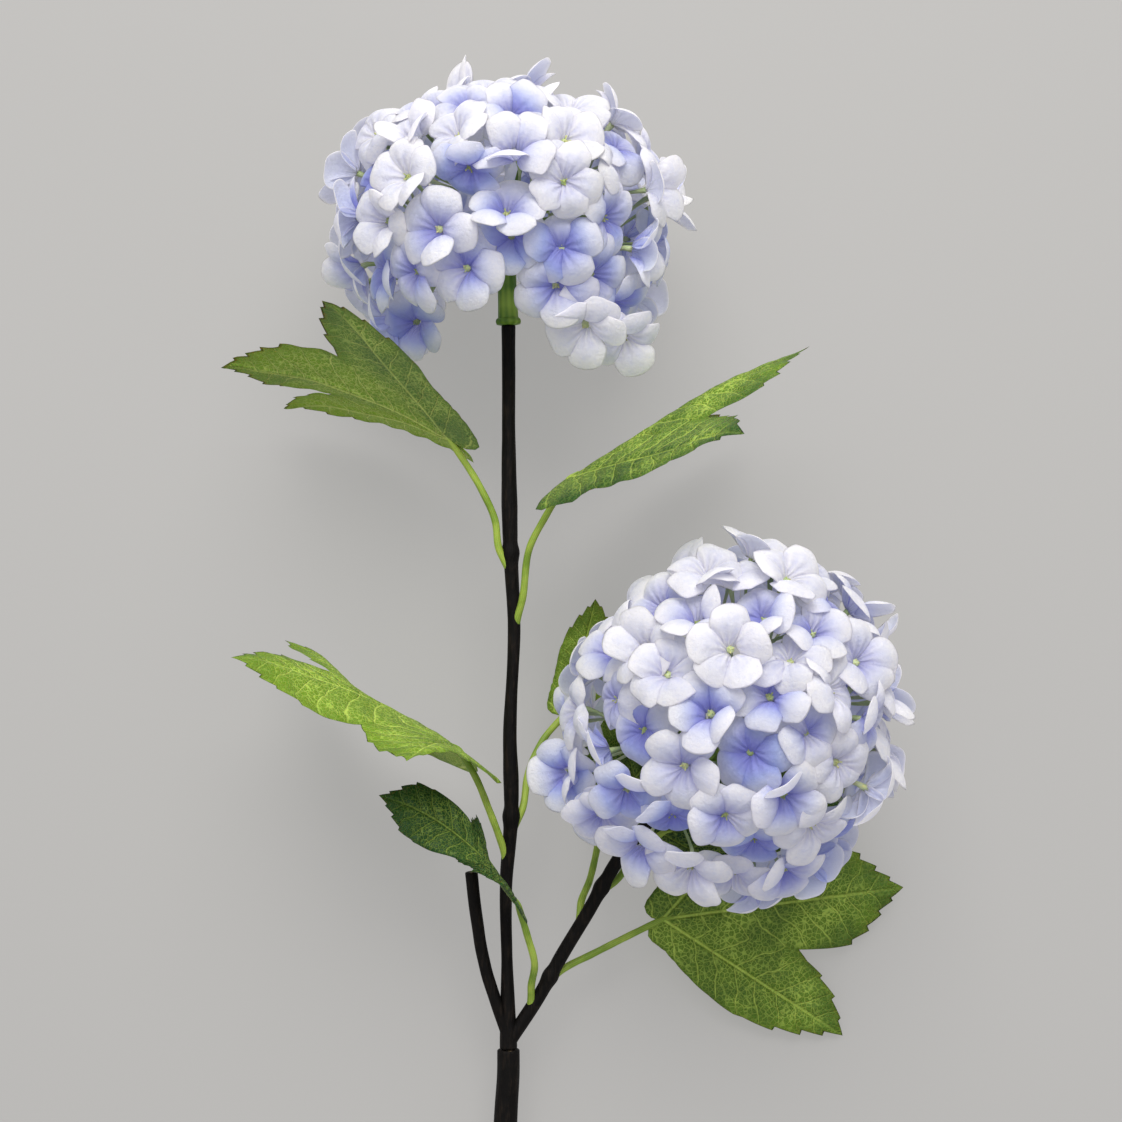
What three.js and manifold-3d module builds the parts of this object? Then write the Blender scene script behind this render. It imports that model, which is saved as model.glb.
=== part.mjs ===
// A cut hydrangea spray with two flower heads, lying down. Units are millimetres and +Z is up.
// The spray is laid out in a frame of its own: X to the right, Y up the stem and Z out of the spray's plane,
// with the origin at the fork. At the end it is turned to lie on the points that carry it.
import * as THREE from 'three';
import { mergeVertices } from 'three/addons/utils/BufferGeometryUtils.js';
import { ConvexHull } from 'three/addons/math/ConvexHull.js';
import Module from 'manifold-3d';

const wasm = await Module();
wasm.setup();

// ---------------------------------------------------------------- driving dimensions

const GAP = 0.3; // clearance between touching pieces
const STEM_SIDES = 9;
const STEM_STEPS = { trunk: 10, main_stem: 20, side_branch: 10, cut_stub: 5 };
const STALK_SIDES = 6;
const STALK_STEPS = 7;

// Stem centre lines, each from its lower end, with the radius at every point.
const STEMS = {
  trunk: {
    points: [[-2, -138, 0], [-2.5, -95, 0], [-1.5, -55, 0], [-0.6, -22, 0], [0.2, -11, 0], [0.2, -1.5, 0]],
    radii: [3.4, 3.4, 3.4, 3.4, 4.25, 4.0],
  },
  main_stem: {
    points: [[0.2, -1.1, 0], [-0.3, 28, 0], [-0.7, 57, 0], [1.2, 84, 0], [0.7, 112, 0], [2.2, 152, 0],
      [0.9, 178, 0], [0.4, 205, 0], [0.2, 259, 0]],
    radii: [3.2, 2.0, 2.35, 2.8, 2.1, 2.4, 2.9, 2.35, 2.5],
  },
  side_branch: {
    points: [[0.5, 1.5, 0], [11, 17.5, 0], [19, 32, 1], [28, 47, 2.5], [42, 71, 6], [55, 86, 12]],
    radii: [2.6, 2.5, 2.4, 2.4, 2.5, 2.4],
  },
  cut_stub: {
    points: [[0.5, 1.5, 0], [-8.6, 30.6, 2], [-11.6, 50, 4], [-13, 63, 5]],
    radii: [2.2, 2.2, 2.2, 2.3],
  },
};

// Leaf stalks, each from the stem to the underside of its blade.
const STALK_RADIUS = 1.35;
const STALKS = {
  upper_left: [[-3.0, 178, 1.5], [-4.6, 189, 4], [-9.5, 200, 6], [-19.8, 216.4, 8]],
  upper_right: [[4.9, 159, 3], [8.3, 180, 8], [13.6, 190, 11], [21.2, 202.3, 16]],
  middle_left: [[-2.6, 74, 2.5], [-6.8, 85.7, 5], [-11.4, 97, 6], [-16.6, 105.8, 7]],
  middle_right: [[4.9, 84, -2.6], [7.4, 98, -7], [12.6, 109, -11], [20.5, 118, -15]],
  lower_left: [[8.4, 21.5, 3.6], [9.7, 31, 10], [7.2, 42, 15], [4.3, 52.6, 19]],
  lower_right: [[20.4, 27.2, -3], [30, 31.5, -6], [42, 37, -9], [55, 42.8, -12]],
  branch_left: [[26.2, 50.5, -1.5], [29.5, 58, -9], [32, 67, -16], [34, 77, -22]],
  branch_right: [[40.2, 60.5, -0.6], [44, 66, -3], [49, 70.6, -6.8], [54.7, 74.3, -9]],
};

// Leaf blades. along is the midrib's direction at the stalk and across runs over the width, both in the
// spray's frame. bend, fold and twist are degrees: over the length, of each half and from base to tip. turned
// turns the two side lobes outwards in degrees, sized is their size, and base how far the blade widens there.
const LEAVES = {
  upper_left: { length: 87, along: [-0.82, 0.55, -0.1], across: [0.12, 0.25, 0.96],
    bend: 34, fold: 8, twist: 4, turned: [8, -7], sized: [0.92, 1.04], base: 0.9 },
  upper_right: { length: 97, along: [0.84, 0.54, 0], across: [0.28, 0.2, -0.94],
    bend: 6, fold: -15, twist: 0, turned: [0, 10], sized: [1, 1], base: 1.2 },
  middle_left: { length: 90, along: [-0.76, 0.57, 0.3], across: [0.5, -0.1, 0.86],
    bend: 24, fold: -10, twist: -24, turned: [18, 0], sized: [0.75, 1], base: 1.3 },
  middle_right: { length: 50, along: [0.74, 0.5, -0.2], across: [-0.55, 0.78, -0.05],
    bend: 8, fold: -4, twist: 0, turned: [0, 0], sized: [1, 1], base: 0.6 },
  lower_left: { length: 64, along: [-0.5, 0.86, 0.1], across: [0.1, 0.05, 1],
    bend: 40, fold: -6, twist: -56, turned: [-12, -14], sized: [0.45, 0.6], base: 0.7 },
  lower_right: { length: 90, along: [0.97, 0.12, -0.03], across: [-0.12, 0.97, -0.08],
    bend: 5, fold: -3, twist: 3, turned: [0, 0], sized: [1, 1], base: 0 },
  branch_left: { length: 56, along: [0.62, 0.78, -0.08], across: [-0.78, 0.62, 0.05],
    bend: 8, fold: -8, twist: 0, turned: [0, 0], sized: [1, 1], base: 0.6 },
  branch_right: { length: 80, along: [0.97, 0.18, -0.1], across: [-0.2, 0.95, -0.14],
    bend: 4, fold: -3, twist: 0, turned: [0, 0], sized: [1, 0.55], base: 0.2 },
};

// Half of a blade's outline, from the tip of the middle lobe round the side lobe to the base, as the angle
// from the midrib in degrees and the distance from the stalk as a share of the length.
const BLADE_EDGE = [[0, 1], [7, 0.89], [15, 0.79], [21, 0.57], [31, 0.75], [40, 0.87], [47, 0.67], [60, 0.47],
  [73, 0.25], [100, 0.12]];
// Where along the outline the side lobe and the base begin and end, and where along the midrib it twists.
const LOBE_FROM = 8;
const LOBE_FULL = 40;
const LOBE_FADES = 70;
const LOBE_GONE = 110;
const BASE_FROM = 62;
const BASE_FULL = 98;
const TWIST_FROM = 0.15;
const TWIST_FULL = 0.6;
const BLADE_RINGS = [0.35, 0.7];
const BLADE_HALF_THICKNESS = 0.5;
const NOTHING = 1e-6; // a bend or a distance under this counts as none

// Flower heads. centre and axis place the dome, radius and height are its reach across and along the axis.
// rim is how far from the axis its florets go, in degrees. rim_swing adds at the sides and takes away at the
// front and back, and back takes away behind. receptacle is how far under the centre the rays start.
const HEADS = {
  upper: { centre: [-0.7, 299, 0], axis: [0, 1, 0], radius: 58, height: 44, drop: 57, rim: 123, rim_swing: 18,
    back: 10, receptacle: 15, stalk_start: [0.2, 259.4, 0], seed: 1 },
  lower: { centre: [76, 116, 29], axis: [0.36, 0.68, 0.64], radius: 53, height: 65, drop: 61, rim: 117,
    rim_swing: 12, back: 30, receptacle: 15, stalk_start: [55.4, 86.5, 12.3], seed: 2 },
};
const CLUSTERS = 16;
const FLORETS_PER_CLUSTER = 5;
const SETTLING_ROUNDS = 80;
const FIRST_SPREAD = 0.2; // how far from its cluster's middle a floret starts, on the unit sphere
const PULL = 0.06; // what a floret moves to its cluster's middle in one round
const PUSH = 0.35; // what it moves from a floret that is too near
const WANTED_ROOM = 1.2; // the room florets want, as a share of an even spacing
const LAYER = 2.4; // how far florets stand in or out of the dome
const FLORET_TILT = 0.22;
const FLORET_ASIDE = [0.3, 0.5, 0.8]; // a direction that no floret faces, to take its sides from
const FLORET_RADIUS = 16;
const FLORET_NOTCH = 0.66; // reach between two petals, as a share of the radius
const FLORET_CUP = 4.2; // rise of a petal's tip over the eye
const FLORET_DEPTH = 1.7;
const PETALS = 5;
const POINTS_PER_PETAL = 3;
const STALKLET_RADIUS = 0.8;
const STALKLET_SIDES = 3;
const HUB_RADIUS = 2.0;
const HUB_REACH = 0.6; // where a cluster's stalklets meet, as a share of the way from the receptacle
const RAY_RADIUS = 1.0;
const RAY_SIDES = 4;
const FLOWER_STALK_RADIUS = 3.7;
const RECEPTACLE_RADIUS = 4.25;
const COLLAR = { radius: 4.3, height: 2.2 };
const SEAM = 1e-4; // points nearer than this are one
const LEAST_SLOPE = 0.2; // how far down a side of the hull must face for the spray to rest on it

const MATERIALS = {
  bark: new THREE.MeshStandardMaterial({ color: 0x1d1512, roughness: 0.7, metalness: 0 }),
  stalk: new THREE.MeshStandardMaterial({ color: 0x8fae3c, roughness: 0.55, metalness: 0 }),
  leaf: new THREE.MeshStandardMaterial({ color: 0x3f6f2c, roughness: 0.6, metalness: 0 }),
  petal: new THREE.MeshStandardMaterial({ color: 0xd3d8f4, roughness: 0.75, metalness: 0 }),
};

// ---------------------------------------------------------------- helpers

const vector = ([x, y, z]) => new THREE.Vector3(x, y, z);
const radians = THREE.MathUtils.degToRad;

// A repeatable number from 0 to 1.
function chance(index, seed) {
  const value = Math.sin(index * 12.9898 + seed * 78.233) * 43758.5453;
  return value - Math.floor(value);
}

function geometryFrom(points, triangles) {
  const geometry = new THREE.BufferGeometry().setFromPoints(points);
  geometry.setIndex(triangles.flat());
  return geometry;
}

function solidOf(geometry) {
  const bare = geometry.clone();
  bare.deleteAttribute('normal');
  bare.deleteAttribute('uv');
  const merged = mergeVertices(bare, SEAM);
  const vertProperties = merged.attributes.position.array;
  const triVerts = new Uint32Array(merged.index.array);
  return new wasm.Manifold(new wasm.Mesh({ numProp: 3, vertProperties, triVerts }));
}

function geometryOf(solid) {
  const mesh = solid.getMesh();
  const geometry = new THREE.BufferGeometry();
  geometry.setAttribute('position', new THREE.BufferAttribute(mesh.vertProperties, 3));
  geometry.setIndex(new THREE.BufferAttribute(mesh.triVerts, 1));
  return geometry;
}

function largestBody(solid) {
  return solid.decompose().sort((one, other) => other.volume() - one.volume())[0];
}

// A closed solid through rings of points, each end closed by a fan.
function lofted(rings, startCentre, endCentre) {
  const sides = rings[0].length;
  const points = [...rings.flat(), startCentre, endCentre];
  const start = points.length - 2;
  const end = points.length - 1;
  const last = (rings.length - 1) * sides;
  const triangles = [];
  for (let side = 0; side < sides; side += 1) {
    const next = (side + 1) % sides;
    triangles.push([start, next, side], [end, last + side, last + next]);
    for (let ring = 0; ring < rings.length - 1; ring += 1) {
      const low = ring * sides;
      const high = low + sides;
      triangles.push([low + side, low + next, high + next], [low + side, high + next, high + side]);
    }
  }
  return geometryFrom(points, triangles);
}

// A round rod along a smooth curve through the points, with its radius blended between those given.
function rod(points, radii, steps, sides, extra = 0) {
  const curve = new THREE.CatmullRomCurve3(points.map(vector), false, 'centripetal');
  const frames = curve.computeFrenetFrames(steps, false);
  const rings = [];
  for (let step = 0; step <= steps; step += 1) {
    const place = (step / steps) * (radii.length - 1);
    const before = Math.min(Math.floor(place), radii.length - 2);
    const radius = THREE.MathUtils.lerp(radii[before], radii[before + 1], place - before) + extra;
    const centre = curve.getPoint(step / steps);
    const ring = [];
    for (let side = 0; side < sides; side += 1) {
      const turn = (2 * Math.PI * side) / sides;
      ring.push(centre.clone()
        .addScaledVector(frames.normals[step], radius * Math.cos(turn))
        .addScaledVector(frames.binormals[step], radius * Math.sin(turn)));
    }
    rings.push(ring);
  }
  return lofted(rings, curve.getPoint(0), curve.getPoint(1));
}

// A straight strut between two points.
function strut(from, to, radius, sides) {
  const length = from.distanceTo(to);
  const geometry = new THREE.CylinderGeometry(radius, radius, length, sides);
  const direction = to.clone().sub(from).normalize();
  geometry.applyQuaternion(new THREE.Quaternion().setFromUnitVectors(new THREE.Vector3(0, 1, 0), direction));
  geometry.translate((from.x + to.x) / 2, (from.y + to.y) / 2, (from.z + to.z) / 2);
  return solidOf(geometry);
}

function ball(centre, radius) {
  return solidOf(new THREE.OctahedronGeometry(radius, 0).translate(centre.x, centre.y, centre.z));
}

function node(name, geometry, material) {
  const mesh = new THREE.Mesh(geometry, material);
  mesh.name = name;
  return mesh;
}

// ---------------------------------------------------------------- stems

function stems() {
  const made = {};
  for (const [name, { points, radii }] of Object.entries(STEMS)) {
    made[name] = solidOf(rod(points, radii, STEM_STEPS[name], STEM_SIDES));
  }
  // The branch and the stub run into the main stem and the trunk, and stop just clear of them.
  const swollen = (name) => {
    const { points, radii } = STEMS[name];
    return solidOf(rod(points, radii, STEM_STEPS[name], STEM_SIDES, GAP));
  };
  const core = swollen('main_stem').add(swollen('trunk'));
  made.side_branch = largestBody(made.side_branch.subtract(core));
  made.cut_stub = largestBody(made.cut_stub.subtract(core).subtract(swollen('side_branch')));
  return Object.entries(made).map(([name, solid]) => node(name, geometryOf(solid), MATERIALS.bark));
}

// ---------------------------------------------------------------- leaves

// The frame of a blade: its midrib's direction, the way over its width and its upper side's normal.
function bladeFrame({ along, across }) {
  const forward = vector(along).normalize();
  const upward = new THREE.Vector3().crossVectors(forward, vector(across)).normalize();
  const sideways = new THREE.Vector3().crossVectors(upward, forward);
  return { forward, sideways, upward };
}

// A point of the blade, u along the midrib and v across it. The midrib is an arc that turns by bend over the
// length, each half stands at the fold angle, and the cross-section turns by twist towards the tip.
function bladePoint(base, leaf, u, v, rise) {
  const { forward, sideways, upward } = bladeFrame(leaf);
  const share = u / leaf.length;
  const bend = radians(leaf.bend);
  const angle = bend * share;
  const reach = Math.abs(bend) < NOTHING ? u : (leaf.length * Math.sin(angle)) / bend;
  const sag = Math.abs(bend) < NOTHING ? 0 : (leaf.length * (1 - Math.cos(angle))) / bend;
  const normal = upward.clone().multiplyScalar(Math.cos(angle)).addScaledVector(forward, Math.sin(angle));
  const twist = radians(leaf.twist) * THREE.MathUtils.smoothstep(share, TWIST_FROM, TWIST_FULL);
  const side = sideways.clone().multiplyScalar(Math.cos(twist)).addScaledVector(normal, Math.sin(twist));
  const top = normal.clone().multiplyScalar(Math.cos(twist)).addScaledVector(sideways, -Math.sin(twist));
  const fold = radians(leaf.fold);
  return base.clone()
    .addScaledVector(forward, reach)
    .addScaledVector(upward, -sag)
    .addScaledVector(side, v * Math.cos(fold))
    .addScaledVector(top, Math.abs(v) * Math.sin(fold) + rise);
}

// Half of a leaf's edge, as angles in radians and distances, with its side lobe turned and sized.
function halfEdge(leaf, half) {
  const side = half > 0 ? 0 : 1;
  return BLADE_EDGE.map(([angle, reach]) => {
    const lobe = THREE.MathUtils.smoothstep(angle, LOBE_FROM, LOBE_FULL);
    const kept = 1 - THREE.MathUtils.smoothstep(angle, LOBE_FADES, LOBE_GONE);
    const lobeSize = 1 + (leaf.sized[side] - 1) * lobe * kept;
    const baseSize = 1 + leaf.base * THREE.MathUtils.smoothstep(angle, BASE_FROM, BASE_FULL);
    return [half * radians(angle + leaf.turned[side] * lobe), reach * lobeSize * baseSize * leaf.length];
  });
}

// The blade with a top and a bottom layer of rings round its base, which share their outermost ring.
function blade(name) {
  const leaf = LEAVES[name];
  const stalkEnd = vector(STALKS[name].at(-1));
  const stalkWay = stalkEnd.clone().sub(vector(STALKS[name].at(-2))).normalize();
  const base = stalkEnd.addScaledVector(stalkWay, GAP + 2 * BLADE_HALF_THICKNESS);
  const edge = [...halfEdge(leaf, -1).slice(1).reverse(), ...halfEdge(leaf, 1)];
  const ring = (share, rise) => edge.map(([angle, reach]) => bladePoint(
    base, leaf, share * reach * Math.cos(angle), share * reach * Math.sin(angle), rise));
  const count = edge.length;
  const points = [];
  const layer = (rise) => {
    const start = points.length;
    points.push(bladePoint(base, leaf, 0, 0, rise));
    BLADE_RINGS.forEach((share) => points.push(...ring(share, rise)));
    return start;
  };
  const upper = layer(BLADE_HALF_THICKNESS);
  const lower = layer(-BLADE_HALF_THICKNESS);
  const rim = points.length;
  points.push(...ring(1, 0));
  const triangles = [];
  const wall = (start, flip) => {
    const face = (a, b, c) => triangles.push(flip ? [a, c, b] : [a, b, c]);
    const at = (level, index) => (level < BLADE_RINGS.length ? start + 1 + level * count + index : rim + index);
    for (let index = 0; index < count - 1; index += 1) {
      face(start, at(0, index), at(0, index + 1));
      for (let level = 0; level < BLADE_RINGS.length; level += 1) {
        face(at(level, index), at(level + 1, index), at(level + 1, index + 1));
        face(at(level, index), at(level + 1, index + 1), at(level, index + 1));
      }
    }
    return at;
  };
  const top = wall(upper, false);
  const bottom = wall(lower, true);
  // The straight edges of the base, on both sides of the stalk.
  for (const [index, flip] of [[0, false], [count - 1, true]]) {
    const above = [upper, ...BLADE_RINGS.map((_, level) => top(level, index)), rim + index];
    const below = [lower, ...BLADE_RINGS.map((_, level) => bottom(level, index)), rim + index];
    for (let level = 0; level < above.length - 1; level += 1) {
      const quad = [above[level], below[level], below[level + 1], above[level + 1]];
      const turned = flip ? quad.toReversed() : quad;
      triangles.push([turned[0], turned[1], turned[2]], [turned[0], turned[2], turned[3]]);
    }
  }
  const clean = triangles.filter(([a, b, c]) => a !== b && b !== c && c !== a);
  return geometryFrom(points, clean);
}

function leaves() {
  const made = [];
  for (const [name, points] of Object.entries(STALKS)) {
    const radii = points.map(() => STALK_RADIUS);
    made.push(node(`leaf_stalk_${name}`, rod(points, radii, STALK_STEPS, STALK_SIDES), MATERIALS.stalk));
    made.push(node(`leaf_blade_${name}`, blade(name), MATERIALS.leaf));
  }
  return made;
}

// ---------------------------------------------------------------- flower heads

// The head's own frame: its axis, its side in the spray's plane and its front.
function headFrame(head) {
  const axis = vector(head.axis).normalize();
  const side = new THREE.Vector3().crossVectors(axis, new THREE.Vector3(0, 0, 1)).normalize();
  const front = new THREE.Vector3().crossVectors(side, axis);
  return { axis, side, front };
}

// How far from the axis florets may stand in the direction given, in radians.
function rimAngle(head, frame, direction) {
  const around = Math.atan2(direction.dot(frame.front), direction.dot(frame.side));
  const behind = Math.max(0, -Math.sin(around));
  return radians(head.rim + head.rim_swing * Math.cos(2 * around) - head.back * behind);
}

// The direction at an angle from the axis and around it.
function spread(frame, angle, around) {
  return frame.axis.clone().multiplyScalar(Math.cos(angle))
    .addScaledVector(frame.side, Math.sin(angle) * Math.cos(around))
    .addScaledVector(frame.front, Math.sin(angle) * Math.sin(around));
}

// Directions of all florets, five to a cluster. They start on a spiral and push each other apart, and each
// is drawn a little to its own cluster's middle.
function floretDirections(head, frame) {
  const total = CLUSTERS * FLORETS_PER_CLUSTER;
  const golden = Math.PI * (3 - Math.sqrt(5));
  const middles = [];
  const places = [];
  for (let cluster = 0; cluster < CLUSTERS; cluster += 1) {
    const share = (cluster + 0.5) / CLUSTERS;
    const reach = Math.cos(radians(head.rim));
    const middle = spread(frame, Math.acos(1 - share * (1 - reach)), cluster * golden + head.seed);
    middles.push(middle);
    for (let member = 0; member < FLORETS_PER_CLUSTER; member += 1) {
      const around = (2 * Math.PI * member) / FLORETS_PER_CLUSTER + chance(cluster, head.seed);
      const aside = new THREE.Vector3().crossVectors(middle, frame.front).normalize();
      const along = new THREE.Vector3().crossVectors(middle, aside);
      places.push(middle.clone()
        .addScaledVector(aside, FIRST_SPREAD * Math.cos(around))
        .addScaledVector(along, FIRST_SPREAD * Math.sin(around))
        .normalize());
    }
  }
  const wanted = WANTED_ROOM * Math.sqrt((2 * Math.PI * (1 - Math.cos(radians(head.rim)))) / total);
  for (let round = 0; round < SETTLING_ROUNDS; round += 1) {
    const pushes = places.map((place, index) => {
      const cluster = Math.floor(index / FLORETS_PER_CLUSTER);
      const own = places.slice(cluster * FLORETS_PER_CLUSTER, (cluster + 1) * FLORETS_PER_CLUSTER);
      const centre = own.reduce((sum, one) => sum.add(one), new THREE.Vector3()).normalize();
      const push = centre.sub(place).multiplyScalar(PULL);
      for (const other of places) {
        const away = place.clone().sub(other);
        const distance = away.length();
        if (distance > NOTHING && distance < wanted) {
          push.addScaledVector(away, (PUSH * (wanted - distance)) / distance);
        }
      }
      return push;
    });
    places.forEach((place, index) => {
      place.add(pushes[index]).normalize();
      const limit = rimAngle(head, frame, place);
      const angle = place.angleTo(frame.axis);
      if (angle > limit) {
        const around = Math.atan2(place.dot(frame.front), place.dot(frame.side));
        place.copy(spread(frame, limit, around));
      }
    });
  }
  return places;
}

// Every floret's middle and facing: on the dome, in or out by a layer, and tilted a little.
function floretPlaces(head, frame) {
  const centre = vector(head.centre);
  return floretDirections(head, frame).map((direction, index) => {
    const up = direction.dot(frame.axis);
    const tall = up > 0 ? head.height : head.drop;
    const flat = direction.clone().addScaledVector(frame.axis, -up);
    const middle = centre.clone().addScaledVector(flat, head.radius).addScaledVector(frame.axis, up * tall);
    const facing = flat.clone().divideScalar(head.radius).addScaledVector(frame.axis, up / tall).normalize();
    middle.addScaledVector(facing, LAYER * (2 * chance(index, head.seed + 3) - 1));
    const tilt = new THREE.Vector3(chance(index, 5) - 0.5, chance(index, 6) - 0.5, chance(index, 7) - 0.5);
    facing.addScaledVector(tilt, 2 * FLORET_TILT).normalize();
    return { middle, facing, turn: 2 * Math.PI * chance(index, head.seed + 11) };
  });
}

// The rim of a floret's five petals. Crowded petals stop half way to the neighbouring floret.
function floretEdge(place, places, aside, along) {
  const count = PETALS * POINTS_PER_PETAL;
  const edge = [];
  for (let index = 0; index < count; index += 1) {
    const angle = place.turn + (2 * Math.PI * index) / count;
    const share = index % POINTS_PER_PETAL === 0 ? FLORET_NOTCH : 1;
    const offset = new THREE.Vector3()
      .addScaledVector(aside, FLORET_RADIUS * share * Math.cos(angle))
      .addScaledVector(along, FLORET_RADIUS * share * Math.sin(angle))
      .addScaledVector(place.facing, FLORET_CUP * share * share);
    let room = 1;
    for (const other of places) {
      if (other === place) continue;
      const way = other.middle.clone().sub(place.middle);
      const half = way.length() / 2 - GAP / 2;
      room = Math.min(room, half / Math.max(offset.dot(way.normalize()), half));
    }
    edge.push(place.middle.clone().addScaledVector(offset, room));
  }
  return edge;
}

// A floret as one shallow cup, with its stalklet running from the cup's foot to the cluster's hub.
function floret(place, places, hub) {
  const aside = vector(FLORET_ASIDE).cross(place.facing).normalize();
  const along = new THREE.Vector3().crossVectors(place.facing, aside);
  const edge = floretEdge(place, places, aside, along);
  const count = edge.length;
  const perSide = count / STALKLET_SIDES;
  const around = (centre) => Array.from({ length: STALKLET_SIDES }, (_, side) => {
    const angle = place.turn + (2 * Math.PI * (side + 0.5)) / STALKLET_SIDES;
    return centre.clone()
      .addScaledVector(aside, STALKLET_RADIUS * Math.cos(angle))
      .addScaledVector(along, STALKLET_RADIUS * Math.sin(angle));
  });
  const foot = place.middle.clone().addScaledVector(place.facing, -FLORET_DEPTH);
  const points = [...edge, place.middle, ...around(foot), ...around(hub)];
  const triangles = [];
  for (let index = 0; index < count; index += 1) {
    const next = (index + 1) % count;
    const side = Math.floor(index / perSide);
    triangles.push([count, index, next], [count + 1 + side, next, index]);
  }
  for (let side = 0; side < STALKLET_SIDES; side += 1) {
    const next = (side + 1) % STALKLET_SIDES;
    const low = count + 1 + STALKLET_SIDES;
    triangles.push([count + 1 + side, count + 1 + next, (perSide * next) % count]);
    triangles.push([count + 1 + next, count + 1 + side, low + side], [count + 1 + next, low + side, low + next]);
    if (side > 0 && next > 0) triangles.push([low, low + next, low + side]);
  }
  return solidOf(geometryFrom(points, triangles));
}

function flowerHead(name, head) {
  const frame = headFrame(head);
  const places = floretPlaces(head, frame);
  const receptacle = vector(head.centre).addScaledVector(frame.axis, -head.receptacle);
  const start = vector(head.stalk_start);
  const stalkWay = receptacle.clone().sub(start).normalize();
  const collarTop = start.clone().addScaledVector(stalkWay, COLLAR.height);
  let umbel = strut(start, receptacle, FLOWER_STALK_RADIUS, STEM_SIDES)
    .add(strut(start, collarTop, COLLAR.radius, STEM_SIDES))
    .add(ball(receptacle, RECEPTACLE_RADIUS));
  const clusters = [];
  for (let cluster = 0; cluster < CLUSTERS; cluster += 1) {
    const own = places.slice(cluster * FLORETS_PER_CLUSTER, (cluster + 1) * FLORETS_PER_CLUSTER);
    const mean = own.reduce((sum, one) => sum.add(one.middle), new THREE.Vector3()).divideScalar(own.length);
    const hub = receptacle.clone().lerp(mean, HUB_REACH);
    const rayWay = hub.clone().sub(receptacle).normalize();
    const rayEnd = hub.clone().addScaledVector(rayWay, -HUB_RADIUS - GAP);
    umbel = umbel.add(strut(receptacle, rayEnd, RAY_RADIUS, RAY_SIDES));
    let solid = ball(hub, HUB_RADIUS);
    for (const place of own) {
      solid = solid.add(floret(place, places, hub));
    }
    const number = String(cluster + 1).padStart(2, '0');
    clusters.push(node(`${name}_head_florets_${number}`, geometryOf(solid), MATERIALS.petal));
  }
  return [node(`${name}_head_stalk`, geometryOf(umbel), MATERIALS.stalk), ...clusters];
}

// ---------------------------------------------------------------- laying the spray down

// The turn that lays the meshes on the facet of their hull under their centre of mass, the one they rest on.
function restingTurn(meshes) {
  const points = [];
  const heavy = new THREE.Vector3();
  let weight = 0;
  for (const mesh of meshes) {
    const position = mesh.geometry.getAttribute('position');
    for (let index = 0; index < position.count; index += 1) {
      points.push(new THREE.Vector3().fromBufferAttribute(position, index));
    }
    const volume = solidOf(mesh.geometry).volume();
    mesh.geometry.computeBoundingBox();
    heavy.addScaledVector(mesh.geometry.boundingBox.getCenter(new THREE.Vector3()), volume);
    weight += volume;
  }
  heavy.divideScalar(weight);
  const hull = new ConvexHull().setFromPoints(points);
  const down = new THREE.Vector3(0, 0, -1);
  let nearest = Infinity;
  let under = down;
  for (const face of hull.faces) {
    const slope = face.normal.dot(down);
    if (slope > LEAST_SLOPE) {
      const distance = face.normal.dot(face.midpoint.clone().sub(heavy)) / slope;
      if (distance < nearest) {
        nearest = distance;
        under = face.normal.clone();
      }
    }
  }
  return new THREE.Quaternion().setFromUnitVectors(under.normalize(), down);
}

const spray = new THREE.Group();
spray.add(...stems(), ...leaves());
for (const [name, head] of Object.entries(HEADS)) {
  spray.add(...flowerHead(name, head));
}
spray.quaternion.copy(restingTurn(spray.children));
spray.updateMatrixWorld(true);
const box = new THREE.Box3().setFromObject(spray, true);
const middle = box.getCenter(new THREE.Vector3());
spray.position.set(-middle.x, -middle.y, -box.min.z);

const part = new THREE.Group();
part.add(spray);

export default part;
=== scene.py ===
"""A cut hydrangea spray with two flower heads, lying on a pale floor.

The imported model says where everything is. The stems' ends give the way the spray lies, and the middles of the
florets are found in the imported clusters. Stems, stalks, blades and florets are then made anew as surfaces
worked out in the spray's own frame: millimetres, X to the right, Y up the stem, Z towards the viewer, with
the origin at the fork.
"""

from __future__ import annotations

import logging
import math
from dataclasses import dataclass, field
from enum import Enum
from typing import Any, Callable, Sequence

import bpy
import numpy as np
from mathutils import Matrix

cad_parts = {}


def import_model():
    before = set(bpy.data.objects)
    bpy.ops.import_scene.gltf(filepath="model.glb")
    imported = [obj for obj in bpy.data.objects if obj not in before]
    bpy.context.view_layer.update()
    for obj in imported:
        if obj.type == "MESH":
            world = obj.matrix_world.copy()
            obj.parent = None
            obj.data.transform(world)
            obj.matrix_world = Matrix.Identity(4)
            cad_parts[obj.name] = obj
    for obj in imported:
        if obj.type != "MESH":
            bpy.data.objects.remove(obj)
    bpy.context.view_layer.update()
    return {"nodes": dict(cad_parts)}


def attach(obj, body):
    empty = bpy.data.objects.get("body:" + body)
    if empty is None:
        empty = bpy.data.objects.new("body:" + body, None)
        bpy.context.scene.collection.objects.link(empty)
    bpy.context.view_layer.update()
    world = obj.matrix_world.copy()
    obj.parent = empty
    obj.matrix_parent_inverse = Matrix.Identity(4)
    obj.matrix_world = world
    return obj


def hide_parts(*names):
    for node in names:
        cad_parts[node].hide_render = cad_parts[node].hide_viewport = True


LOG = logging.getLogger("hydrangea")
MM = 0.001
PETALS = 5
FLORETS_PER_CLUSTER = 5

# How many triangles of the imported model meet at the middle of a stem's end and of a floret, and the length in
# millimetres that every edge from a floret's middle exceeds.
STEM_END_FAN = 9
FLORET_FAN = 10
FLORET_EDGE = 4.0

Array = np.ndarray
Point = tuple[float, float, float]
Colour = tuple[float, float, float, float]
Packed = dict[str, bpy.types.Object]


class Slot(Enum):
    """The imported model's material slots."""

    BARK = "bark"
    FLOWER_STALK = "flower_stalk"
    LEAF_STALK = "leaf_stalk"
    LEAF = "leaf"
    PETAL = "petal"


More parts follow.
